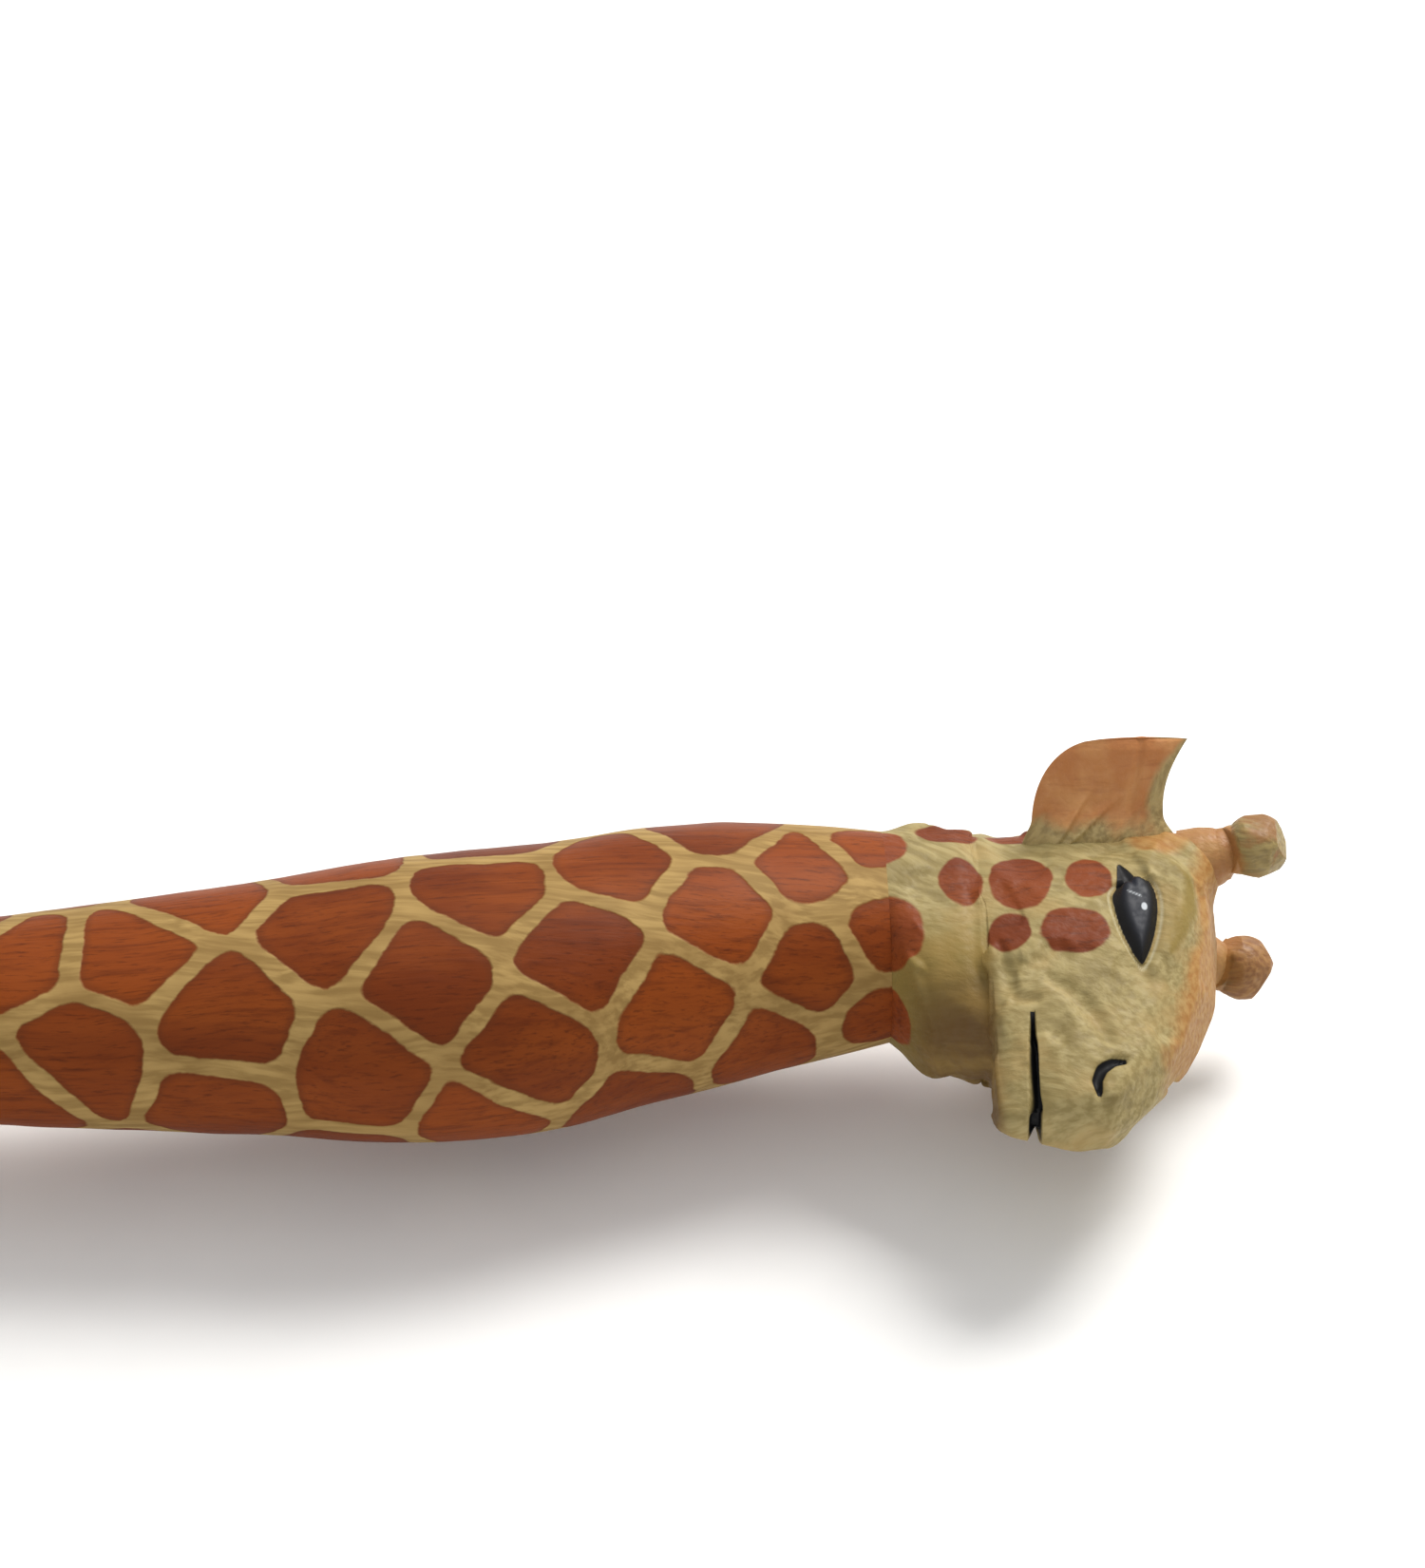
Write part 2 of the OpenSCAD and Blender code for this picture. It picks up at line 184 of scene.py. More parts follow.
def calc(tree, operation, first, second=None, clamp=False):
    node = tree.nodes.new("ShaderNodeMath")
    node.operation = operation
    node.use_clamp = clamp
    fill(node.inputs[0], first)
    if second is not None:
        fill(node.inputs[1], second)
    return node.outputs[0]


def plus(tree, first, second):
    return calc(tree, "ADD", first, second)


def minus(tree, first, second):
    return calc(tree, "SUBTRACT", first, second)


def times(tree, first, second):
    return calc(tree, "MULTIPLY", first, second)


def follow_curve(tree, factor, points):
    """A smooth curve through points of (place, value), read at a place from 0 to 1."""
    node = tree.nodes.new("ShaderNodeFloatCurve")
    curve = node.mapping.curves[0]
    curve.points[0].location = points[0]
    curve.points[1].location = points[-1]
    for point in points[1:-1]:
        curve.points.new(*point)
    node.mapping.update()
    fill(node.inputs["Value"], factor)
    return node.outputs[0]


def vector_step(tree, operation, first, second):
    """One step of vector arithmetic; a scale takes a number as its second value."""
    node = put(tree, "ShaderNodeVectorMath", {"operation": operation})
    fill(node.inputs[0], first)
    fill(node.inputs["Scale" if operation == "SCALE" else 1], second)
    return node.outputs["Value" if operation == "DISTANCE" else "Vector"]


def add_socket(tree, name, kind, out=False, value=None):
    socket = tree.interface.new_socket(
        name=name, in_out="OUTPUT" if out else "INPUT", socket_type="NodeSocket" + kind)
    if value is not None:
        socket.default_value = value
    return socket


def begin_masks(name, values, masks):
    """A shader node group with these numbers going in and these masks coming out."""
    tree = bpy.data.node_groups.new(name, "ShaderNodeTree")
    for key, value in values.items():
        add_socket(tree, key, "Float", value=value)
    for mask in masks:
        add_socket(tree, mask, "Float", out=True)
    entry = tree.nodes.new("NodeGroupInput").outputs
    leave = tree.nodes.new("NodeGroupOutput").inputs
    return tree, entry, leave, tree.nodes.new("ShaderNodeTexCoord").outputs["Object"]


def noise_masks(tree, entry, leave, rows):
    """Stretched noise for each mask of a group, all made finer or coarser by its Fineness."""
    for name, source, stretch, scale, detail, roughness in rows:
        mapping = put(tree, "ShaderNodeMapping", Vector=source)
        mapping.inputs["Scale"].default_value = stretch
        noise = put(tree, "ShaderNodeTexNoise", Vector=mapping.outputs[0], Detail=detail,
                    Roughness=roughness, Scale=times(tree, entry["Fineness"], scale))
        fill(leave[name], noise.outputs[0])


def begin_shape(name, sizes, counts=()):
    """A Geometry Nodes tree that takes sizes and a material and gives one shape."""
    tree = bpy.data.node_groups.new(name, "GeometryNodeTree")
    for size in sizes:
        add_socket(tree, size, "Float")
    for count in counts:
        add_socket(tree, count, "Int")
    add_socket(tree, "Material", "Material")
    add_socket(tree, "Geometry", "Geometry", out=True)
    return tree, tree.nodes.new("NodeGroupInput").outputs


def end_shape(tree, geometry, material):
    real = put(tree, "GeometryNodeRealizeInstances", Geometry=geometry)
    finished = put(tree, "GeometryNodeSetMaterial", Geometry=real.outputs[0], Material=material)
    fill(tree.nodes.new("NodeGroupOutput").inputs["Geometry"], finished.outputs[0])
    return tree


# %% [markdown]
# ## Shared effect: wood grain
# Carved tools of this kind are made from one straight-grained hardwood, and its grain runs along
# the stick. The group stretches noise along X: `Streak` is the fine dark line work of the grain,
# `Pores` the short open pores, and `Cloud` the slow change from board to board. Materials mix
# these masks with their own colours.

# %% Wood grain group
def build_grain():
    tree, entry, leave, coords = begin_masks(
        "wood_grain", {"Fineness": 1.0, "Sway": 0.4}, ("Streak", "Pores", "Cloud"))
    sway = put(tree, "ShaderNodeTexNoise", Vector=coords, Scale=22.0, Detail=2.0)
    bent = vector_step(tree, "SCALE", sway.outputs["Color"], times(tree, entry["Sway"], 0.006))
    moved = vector_step(tree, "ADD", coords, bent)
    noise_masks(tree, entry, leave, (
        ("Streak", moved, (0.06, 1, 1), 620.0, 6.0, 0.6),
        ("Pores", moved, (0.12, 1, 1), 1500.0, 3.0, 0.6),
        ("Cloud", moved, (0.25, 1, 1), 70.0, 3.0, 0.6)))
    return tree


grain_group = build_grain()
print("wood grain group ready")

# %% [markdown]
# ## Shared effect: brushed paint
# The cream is laid on by hand with a small stiff brush. Its hairs leave fine ridges, and the coat
# is thin in places so that the wood shows. `Bristle` is the ridge pattern along the stroke,
# `Blotch` the uneven thickness. `Turn` swings the strokes round, in degrees, so that each piece
# is brushed its own way.

# %% Brushed paint group
def build_brushwork():
    tree, entry, leave, coords = begin_masks(
        "brushed_paint", {"Turn": 0.0, "Fineness": 1.0}, ("Bristle", "Blotch", "Fleck"))
    angle = calc(tree, "RADIANS", entry["Turn"])
    wander = put(tree, "ShaderNodeTexNoise", Vector=coords, Scale=70.0, Detail=1.0)
    drift = vector_step(tree, "SCALE", wander.outputs["Color"], 0.005)
    moved = vector_step(tree, "ADD", coords, drift)
    turned = put(tree, "ShaderNodeVectorRotate", {"rotation_type": "X_AXIS"},
                 Vector=moved, Angle=angle)
    along = put(tree, "ShaderNodeVectorRotate", {"rotation_type": "Z_AXIS"},
                Vector=turned.outputs[0], Angle=angle)
    noise_masks(tree, entry, leave, (
        ("Bristle", along.outputs[0], (0.07, 1, 1), 1100.0, 3.0, 0.5),
        ("Blotch", along.outputs[0], (0.5, 1, 1), 190.0, 4.0, 0.5),
        ("Fleck", coords, (1, 1, 1), 900.0, 2.0, 0.5)))
    return tree


brush_group = build_brushwork()
print("brushed paint group ready")

# %% [markdown]
# ## Colour helpers
# A finish is a stack of coats. `coat` lays one colour over another where a mask says so, and
# `edge` turns a slow mask into a coat's edge that can be crisp or soft. Colours are written as the
# hex values of a paint card and turned into the linear numbers that the shader wants.

# %% Colour helpers
def paint(code):
    values = [int(code[k:k + 2], 16) / 255 for k in (0, 2, 4)]
    linear = [v / 12.92 if v <= 0.04045 else ((v + 0.055) / 1.055) ** 2.4 for v in values]
    return (*linear, 1.0)


def coat(tree, mask, under, over):
    node = tree.nodes.new("ShaderNodeMix")
    node.data_type = "RGBA"
    fill(node.inputs["Factor"], mask)
    fill(node.inputs[6], under)
    fill(node.inputs[7], over)
    return node.outputs[2]


def edge(tree, value, low, high, bottom=0.0, top=1.0):
    node = put(tree, "ShaderNodeMapRange", {"interpolation_type": "SMOOTHSTEP"}, Value=value)
    node.inputs["From Min"].default_value = low
    node.inputs["From Max"].default_value = high
    node.inputs["To Min"].default_value = bottom
    node.inputs["To Max"].default_value = top
    return node.outputs[0]


def lay(tree, colour, *rows):
    """Lays coats of paint over a colour, each as (mask, low, high, strength, paint card)."""
    for mask, low, high, strength, code in rows:
        colour = coat(tree, edge(tree, mask, low, high, 0, strength), colour, paint(code))
    return colour


def shaken(tree, brush, size):
    """A slow wander of `size` for the edge of a coat, from the uneven thickness of the paint."""
    return times(tree, minus(tree, brush["Blotch"], 0.5), size)


def attribute(tree, name):
    node = tree.nodes.new("ShaderNodeAttribute")
    node.attribute_name = name
    return node.outputs["Fac"]


def use_group(tree, group, **inputs):
    node = tree.nodes.new("ShaderNodeGroup")
    node.node_tree = group
    for key, value in inputs.items():
        fill(node.inputs[key], value)
    return node.outputs


def new_material(name):
    material = bpy.data.materials.new(name)
    material.use_nodes = True
    tree = material.node_tree
    return material, tree, tree.nodes["Principled BSDF"]


def raise_surface(tree, shader, height, distance_mm):
    bump = put(tree, "ShaderNodeBump", Strength=1.0, Distance=distance_mm * MM, Height=height)
    fill(shader.inputs["Normal"], bump.outputs[0])


# %% [markdown]
# ## Finish: stained shaft
# The shaft and rake are not painted. A reddish brown stain soaks in unevenly, darker in the pores,
# and a little wax gives a satin sheen. The bump follows the grain, so highlights break up along X.
# The inner corner of the rake's hook is painted darker, partly as painted shade and partly as stain.

# %% Stained wood material
# Reach of the darker brown in the hook's corner: partly painted shade, partly pooled stain.
HOOK_SHADE_AND_STAIN = (2.5 * MM, 9 * MM)
hook_corner = (*place([[rake_low[0] + rake_root, root_y, 0]])[0][:2], 0)
hook_half = (rake_high[2] - rake_low[2]) / 2 * MM


def stained_wood():
    material, tree, shader = new_material("stained_wood")
    grain = use_group(tree, grain_group, Fineness=1.5, Sway=0.4)
    colour = lay(tree, paint("6d3008"), (grain["Cloud"], 0.3, 0.7, 1, "8a4512"),
                 (grain["Streak"], 0.46, 0.72, 0.6, "4a1a04"),
                 (grain["Streak"], 0.46, 0.30, 0.35, "a45a20"),
                 (grain["Pores"], 0.56, 0.74, 0.5, "300e04"))
    coords = tree.nodes.new("ShaderNodeTexCoord").outputs["Object"]
    # Darker brown round the inner corner of the hook, partly painted shade and partly pooled stain.
    spot = put(tree, "ShaderNodeMapping", Vector=coords)
    spot.inputs["Scale"].default_value = (1, 1, 0)
    away = vector_step(tree, "DISTANCE", spot.outputs[0], hook_corner)
    hook_shade_and_stain = edge(tree, away, HOOK_SHADE_AND_STAIN[1], HOOK_SHADE_AND_STAIN[0], 0, 0.75)
    level = put(tree, "ShaderNodeSeparateXYZ", Vector=coords).outputs["Z"]
    aside = calc(tree, "ABSOLUTE", minus(tree, level, axis_z * MM))
    inner = edge(tree, aside, hook_half - 0.3 * MM, hook_half - 0.8 * MM)
    colour = coat(tree, times(tree, hook_shade_and_stain, inner), colour, paint("2e0e04"))
    fill(shader.inputs["Base Color"], colour)
    fill(shader.inputs["Roughness"], edge(tree, grain["Streak"], 0.2, 0.8, 0.38, 0.58))
    shader.inputs["Specular IOR Level"].default_value = 0.18
    height = minus(tree, times(tree, grain["Streak"], 0.5), edge(tree, grain["Pores"], 0.58, 0.70))
    raise_surface(tree, shader, height, 0.10)
    return material


stained = stained_wood()
print("material", stained.name)

# %% [markdown]
# ## Finish: giraffe hide
# The carver stains the whole neck brown and then paints the cream net over it, so the patches are
# what the net leaves free. Each point of the neck carries `patch_edge`, its distance in from the
# nearest line between two patches, and `patch_tone`, a value that each patch has to itself. A
# little noise on that distance gives the shaky edge of a hand-held brush.

# %% Painted hide material
HIDE_CREAM = ("8c7040", "a88a54", "7c5e32")
HIDE_STAIN = ("672a06", "823b0d", "8c4412", "521e04", "3c1402")
HEAD_CREAM = ("87774a", "9e8e60", "a28856", "6c5c32")
HEAD_TAN = ("98642e", "a87c44")
# Olive paint for the brow and throat, and a deep brown used as painted shade under the jaw.
HEAD_OLIVE_AND_SHADE = ("7e6a30", "553510", "8a6e34")
EAR_CREAM, EAR_TAN = ("8e7a4c", "aa9562"), ("b0703a", "c48c54", "94562c")
HORN_STEM = ("946432", "a87e48", "9a6236")


def stain_coats(tree, grain):
    """Brown stain over wood, light and dark from patch to patch, with the grain showing."""
    light, rich, warm, streak, pore = HIDE_STAIN
    return lay(tree, paint(light), (attribute(tree, "patch_tone"), 0, 1, 1, rich),
               (grain["Cloud"], 0.35, 0.7, 0.6, warm), (grain["Streak"], 0.46, 0.70, 0.5, streak),
               (grain["Pores"], 0.52, 0.72, 0.5, pore))


def painted_hide():
    material, tree, shader = new_material("painted_hide")
    grain = use_group(tree, grain_group, Fineness=1.5, Sway=1.0)
    brush = use_group(tree, brush_group, Turn=10.0, Fineness=0.8)
    wood = stain_coats(tree, grain)
    cream = lay(tree, paint(HIDE_CREAM[0]), (brush["Bristle"], 0.35, 0.65, 1, HIDE_CREAM[1]),
                (brush["Blotch"], 0.35, 0.75, 0.5, HIDE_CREAM[2]))
    shaky = shaken(tree, brush, 2.2)
    rough = times(tree, minus(tree, brush["Fleck"], 0.5), 0.4)
    line = plus(tree, plus(tree, attribute(tree, "patch_edge"), shaky), rough)
    on_patch = edge(tree, line, 1.15, 1.6)
    wood = lay(tree, wood, (line, 2.8, 1.5, 0.45, "5a2a0e"))
    colour = coat(tree, on_patch, cream, wood)
    fill(shader.inputs["Base Color"], colour)
    fill(shader.inputs["Roughness"], edge(tree, line, 1.35, 1.9, 0.62, 0.5))
    shader.inputs["Specular IOR Level"].default_value = 0.12
    paint_height = plus(tree, 0.9, times(tree, brush["Bristle"], 0.6))
    wood_height = times(tree, grain["Streak"], 0.7)
    height = plus(tree, times(tree, on_patch, wood_height),
                  times(tree, minus(tree, 1.0, on_patch), paint_height))
    raise_surface(tree, shader, height, 0.12)
    return material


hide = painted_hide()
print("material", hide.name)

# %% [markdown]
# ## The neck's shape
# The neck is one long taper. Its section grows from the thin flat shaft to a thick oval that
# fills the hand, then narrows and swings back under the head. A shape like that follows a rule,
# so Geometry Nodes make it: a plain cylinder whose points are moved by four curves along its
# length. The curves hold the side swell, the depth swell, the backward shift and the squareness
# of the section, where 2 is an oval and 4 is nearly a rectangle. Last, the skin is pressed in here
# and there by up to half a millimetre, as an uneven hand would, but not at the two ends.

# %% Neck curves
SIDE_SWELL = [(0, 0), (0.09, 0.14), (0.23, 0.35), (0.41, 0.58), (0.57, 0.81), (0.72, 1),
              (0.85, 0.96), (0.93, 0.82), (1, 0.66)]
DEPTH_SWELL = [(0, 0), (0.09, 0.22), (0.23, 0.44), (0.41, 0.65), (0.57, 0.83), (0.72, 1),
               (0.85, 0.91), (0.93, 0.78), (1, 0.62)]
BACK_SHIFT = [(0, 0), (0.41, 0), (0.57, 0.06), (0.72, 0.18), (0.85, 0.66), (0.93, 0.90), (1, 1)]
SQUARENESS = [(0, 1), (0.09, 0.75), (0.23, 0.6), (0.41, 0.55), (0.57, 0.525), (1, 0.525)]
MOST_SQUARE = 4.0

thin_w, thin_d = 12.0, 8.5
thick_w, thick_d = neck_high[2] - neck_low[2], 48.0
dowel_low, dowel_high = node_box("head_dowel")
neck_shift = (dowel_low[1] + dowel_high[1]) / 2 - axis_y
print("neck section", thick_w, "x", thick_d, "mm, top shifted back", round(neck_shift, 2), "mm")


# %% Neck tree
def build_neck_tree():
    tree, sizes = begin_shape("carved_neck", (
        "Start", "Length", "Thin Width", "Thick Width", "Thin Depth", "Thick Depth", "Shift",
        "Axis Y", "Axis Z", "Unevenness"))
    rod = put(tree, "GeometryNodeMeshCylinder", Vertices=224, Side_Segments=350, Radius=1.0,
              Depth=1.0)
    place_now = put(tree, "GeometryNodeInputPosition").outputs[0]
    parts = put(tree, "ShaderNodeSeparateXYZ", Vector=place_now).outputs
    share = plus(tree, parts["Z"], 0.5)
    square = times(tree, follow_curve(tree, share, SQUARENESS), MOST_SQUARE)
    power = calc(tree, "DIVIDE", 2.0, square)

    def swollen(thin, thick, curve):
        share_of_swell = follow_curve(tree, share, curve)
        swell = times(tree, share_of_swell, minus(tree, sizes[thick], sizes[thin]))
        return times(tree, plus(tree, sizes[thin], swell), 0.5)

    def squared(value):
        size = calc(tree, "POWER", calc(tree, "ABSOLUTE", value), power)
        return times(tree, calc(tree, "SIGN", value), size)

    across = times(tree, swollen("Thin Width", "Thick Width", SIDE_SWELL), squared(parts["Y"]))
    deep = times(tree, swollen("Thin Depth", "Thick Depth", DEPTH_SWELL), squared(parts["X"]))
    back = times(tree, sizes["Shift"], follow_curve(tree, share, BACK_SHIFT))
    new_x = plus(tree, sizes["Start"], times(tree, share, sizes["Length"]))
    new_y = minus(tree, plus(tree, sizes["Axis Y"], back), deep)
    new_z = plus(tree, sizes["Axis Z"], across)
    target = put(tree, "ShaderNodeCombineXYZ", X=new_x, Y=new_y, Z=new_z).outputs[0]
    shaped = put(tree, "GeometryNodeSetPosition", Geometry=rod.outputs["Mesh"], Position=target)

    surface = put(tree, "GeometryNodeInputPosition").outputs[0]
    along = put(tree, "ShaderNodeSeparateXYZ", Vector=surface).outputs["X"]
    done = calc(tree, "DIVIDE", minus(tree, along, sizes["Start"]), sizes["Length"])
    fade = calc(tree, "MULTIPLY", times(tree, done, minus(tree, 1.0, done)), 8.0, clamp=True)
    lumps = put(tree, "ShaderNodeTexNoise", Vector=surface, Scale=75.0, Detail=2.0).outputs[0]
    rise = times(tree, lumps, times(tree, fade, sizes["Unevenness"]))
    normal = put(tree, "GeometryNodeInputNormal").outputs[0]
    uneven = put(tree, "GeometryNodeSetPosition", Geometry=shaped.outputs[0],
                 Offset=vector_step(tree, "SCALE", normal, rise))
    return end_shape(tree, uneven.outputs[0], sizes["Material"])


def grow(name, tree, values):
    """An object whose mesh a Geometry Nodes tree makes, turned into a plain mesh."""
    piece = bpy.data.objects.new(name, bpy.data.meshes.new(name))
    bpy.context.scene.collection.objects.link(piece)
    modifier = piece.modifiers.new("shape", "NODES")
    modifier.node_group = tree
    for socket in tree.interface.items_tree:
        if socket.in_out == "INPUT":
            modifier[socket.identifier] = values[socket.name]
    return apply_modifiers(piece)


neck = grow("giraffe_neck", build_neck_tree(), {
    "Start": neck_x * MM, "Length": neck_l * MM,
    "Thin Width": thin_w * MM, "Thick Width": thick_w * MM,
    "Thin Depth": thin_d * MM, "Thick Depth": thick_d * MM,
    "Shift": neck_shift * MM, "Axis Y": axis_y * MM, "Axis Z": axis_z * MM,
    "Unevenness": 0.5 * MM, "Material": hide})
finish_piece(neck)
neck.data.set_sharp_from_angle(angle=math.radians(50))
print("neck", len(neck.data.vertices), "points", [round(v, 4) for v in neck.dimensions])

# %% [markdown]
# ## Where the patches go
# A giraffe's patches are like cells that grew until they met, and a Voronoi pattern is exactly
# that: each point belongs to the nearest seed. The seeds on the right side of the neck are listed,
# as the carver drew them, as millimetres down from the head joint and degrees round from
# the throat. The rest of the skin is filled by dropping seeds at random and keeping those that
# are far enough from their neighbours, with a fixed seed so that every run is the same.

# %% Patch seeds
HAND_SEEDS = [
    (129, 88), (112, 82), (120, 20), (98, 42), (83, 82), (100, -6), (79, 14), (69, 56), (59, 92),
    (101, 116), (128, -10), (46, 58), (40, 97), (25, 66), (32, 24), (12, 86), (11, 32), (0.5, 46),
    (2, 106), (54, 16), (18, -10), (39, -26), (61, -16), (25, 118), (2, -6), (146, 44),
    (138, 112), (142, -10), (82, 136), (58, 138)]
PAINT_END = 206.0
PATCH_LINE, TOP_PATCH_R = 1.4, 5.8


def neck_skin(down, degrees):
    """The point of the neck's surface at a distance below the head joint and a turn round it."""
    share = np.clip(1 - down / neck_l, 0, 1)
    half_w = (thin_w + (thick_w - thin_w) * np.interp(share, *zip(*SIDE_SWELL))) / 2
    half_d = (thin_d + (thick_d - thin_d) * np.interp(share, *zip(*DEPTH_SWELL))) / 2
    back = neck_shift * np.interp(share, *zip(*BACK_SHIFT))
    turn = np.radians(degrees)
    return np.array([head_x - down, back - half_d * np.cos(turn), half_w * np.sin(turn)])


def scatter_seeds():
    rng = np.random.default_rng(11)
    seeds = [neck_skin(down, degrees) for down, degrees in HAND_SEEDS]
    for _ in range(6000):
        down, degrees = rng.uniform(-4, neck_l), rng.uniform(0, 360)
        point = neck_skin(down, degrees)
        room = 17.5 - 7 * smooth_step(110, neck_l, down)
        if min(np.linalg.norm(np.array(seeds) - point, axis=1)) > room:
            seeds.append(point)
    return np.array(seeds)


patch_seeds = scatter_seeds()
print(len(HAND_SEEDS), "seeds by hand and", len(patch_seeds) - len(HAND_SEEDS), "scattered")


# %% [markdown]
# A point's distance to the line between its own patch and the next is what a painter sees: the
# line is drawn where that distance is small. The two nearest neighbours are blended a little, so
# that the patches get round corners instead of sharp ones.

# %% Distance to the painted lines
def patch_field(points, rounding=2.4):
    """Millimetres in from the nearest painted line, and the tone of the patch, at each point."""
    tones = np.random.default_rng(5).uniform(0, 1, len(patch_seeds))
    edge_mm, tone = [], []
    for start in range(0, len(points), BLOCK):
        square = ((points[start:start + BLOCK, None, :] - patch_seeds[None]) ** 2).sum(2)
        order = np.argsort(square, axis=1)[:, :3]
        near = np.take_along_axis(square, order, axis=1)
        own = patch_seeds[order[:, 0]]
        gap_1, gap_2 = [
            (near[:, k] - near[:, 0]) / (2 * np.linalg.norm(own - patch_seeds[order[:, k]], axis=1))
            for k in (1, 2)]
        mix = np.clip(0.5 + 0.5 * (gap_2 - gap_1) / rounding, 0, 1)
        inside = gap_2 * (1 - mix) + gap_1 * mix - rounding * mix * (1 - mix)
        limit = PATCH_LINE + 0.8 * (TOP_PATCH_R - np.sqrt(near[:, 0]))
        edge_mm.append(np.where(own[:, 0] > head_x - 4, np.minimum(inside, limit), inside))
        tone.append(tones[order[:, 0]])
    return np.concatenate(edge_mm), np.concatenate(tone)


neck_points = read_points(neck)
neck_edge, neck_tone = patch_field(neck_points)
bare = (head_x - neck_points[:, 0]) - PAINT_END
store(neck, "patch_edge", np.maximum(neck_edge, bare))
store(neck, "patch_tone", neck_tone)
print("painted share of the neck:", round(float((neck_edge < 1.6).mean()), 2))

# %% [markdown]
# ## The head's shape
# The head is carved from a block, seen here as sections stacked from the neck joint up to the
# crown. Each row gives the height above the joint, the front and back of the section, its half
# width at the front and at the back, and its squareness. The big step in the front is the
# underside of the jaw. The rows are joined by straight lines, softened a little, and cut into
# many thin slices so that there is enough mesh to carve the face into.

# %% Head sections
crown = head_high[0] - head_x
snout = head_low[1] - axis_y
cheek = (head_high[2] - head_low[2]) / 2
lip = 9.5
mouth = 19.6
top_w = (thin_w + (thick_w - thin_w) * SIDE_SWELL[-1][1]) / 2
top_d = (thin_d + (thick_d - thin_d) * DEPTH_SWELL[-1][1]) / 2
throat, nape = neck_shift - top_d, neck_shift + top_d
skull = nape - 0.8
HEAD_ROWS = np.array([
    (0, throat, nape, top_w, top_w, 2.1),
    (5, throat - 7.5, nape + 0.2, top_w - 1.5, top_w, 2.5),
    (11, throat - 11.5, nape - 0.4, top_w - 3, top_w + 0.4, 2.7),
    (mouth - 6.3, throat - 12, skull, lip + 1, cheek - 1.2, 2.7),
    (mouth - 5.7, snout + 4, skull, lip - 2.2, cheek - 1.2, 2.7),
    (mouth - 3.5, snout + 1.6, skull, lip - 1.4, cheek - 1, 2.7),
    (mouth - 0.5, snout + 1.2, skull, lip - 1, cheek - 0.8, 2.7),
    (mouth + 3.5, snout, skull, lip, cheek - 0.5, 2.7),
    (crown - 17.8, snout + 0.8, skull, lip - 0.5, cheek, 2.7),
    (crown - 14.8, snout + 3.8, skull, lip - 1.2, cheek, 2.7),
    (crown - 9.8, snout + 9.6, skull - 0.5, lip - 1.2, cheek, 2.7),
    (crown - 5.3, snout + 17.6, skull - 2.3, lip - 0.2, cheek - 1, 2.7),
    (crown - 2.2, snout + 25, skull - 5, lip - 0.8, cheek - 3.6, 2.7),
    (crown - 0.5, snout + 31.3, skull - 8.5, lip - 3.5, cheek - 6.8, 2.7),
    (crown, snout + 35.3, skull - 13, lip - 6.5, cheek - 11, 2.7)])
head_rings, head_sides = 250, 330


def soften(column, reach):
    """A running average with a bell-shaped weight, which keeps both ends where they are."""
    steps = np.arange(-3 * reach, 3 * reach + 1)
    weight = np.exp(-0.5 * (steps / reach) ** 2)
    longer = np.pad(column, 3 * reach, mode="reflect", reflect_type="odd")
    return np.convolve(longer, weight / weight.sum(), "valid")


def head_slices():
    step = 0.1
    run = np.r_[0, np.cumsum(np.hypot(np.diff(HEAD_ROWS[:, 0]), np.diff(HEAD_ROWS[:, 1])))]
    fine = np.arange(0, run[-1] + step, step)
    table = np.array([soften(np.interp(fine, run, column), 9) for column in HEAD_ROWS.T]).T
    crowd = 1 + 1.6 * np.exp(-((table[:, 0] - mouth) / 1.6) ** 2)
    order = np.r_[0, np.cumsum(crowd[1:])]
    wanted = np.linspace(0, order[-1], head_rings)
    return np.array([np.interp(wanted, order, column) for column in table.T]).T


def slice_outline(row, sides):
    height, front, back, front_w, back_w, square = row
    turn = np.radians(np.linspace(0, 360, 721))
    u = (1 - np.cos(turn)) / 2
    width = front_w + (back_w - front_w) * (1 - np.cos(np.pi * np.minimum(1, 1.5 * u))) / 2
    half = width * np.clip(1 - np.abs(2 * u - 1) ** square, 0, 1) ** (1 / square)
    y, z = front + (back - front) * u, np.where(turn <= np.pi, half, -half)
    run = np.r_[0, np.cumsum(np.hypot(np.diff(y), np.diff(z)))]
    wanted = np.linspace(0, run[-1], sides, endpoint=False)
    return np.array([np.full(sides, head_x + height), np.interp(wanted, run, y),
                     np.interp(wanted, run, z)]).T


def head_blank():
    rings = [slice_outline(row, head_sides) for row in head_slices()]
    last = rings[-1]
    middle = last.mean(axis=0)
    for shrink in np.linspace(0.92, 0.08, 12):
        ring = middle + (last - middle) * shrink
        ring[:, 0] += 0.5 * (1 - shrink ** 2)
        rings.append(ring)
    return make_piece("giraffe_head", np.concatenate(rings), tube_faces(len(rings), head_sides))


head = head_blank()
print("head blank", len(head.data.vertices), "points", [round(v, 4) for v in head.dimensions])

# %% [markdown]
# ## Carving tools
# The face is carved into the blank by moving its points along their normals. Two ideas do most of
# the work. A `stroke` is a line with a width, such as the cut of a V tool, and it gives each
# point its distance inside the stroke. `whittle` leaves the flat facets of a knife: each facet is
# a plane that touches the surface at a random spot, tilted a little, and every point goes to the
# lowest plane near it. `calm_rings` then softens the ridges between the facets.

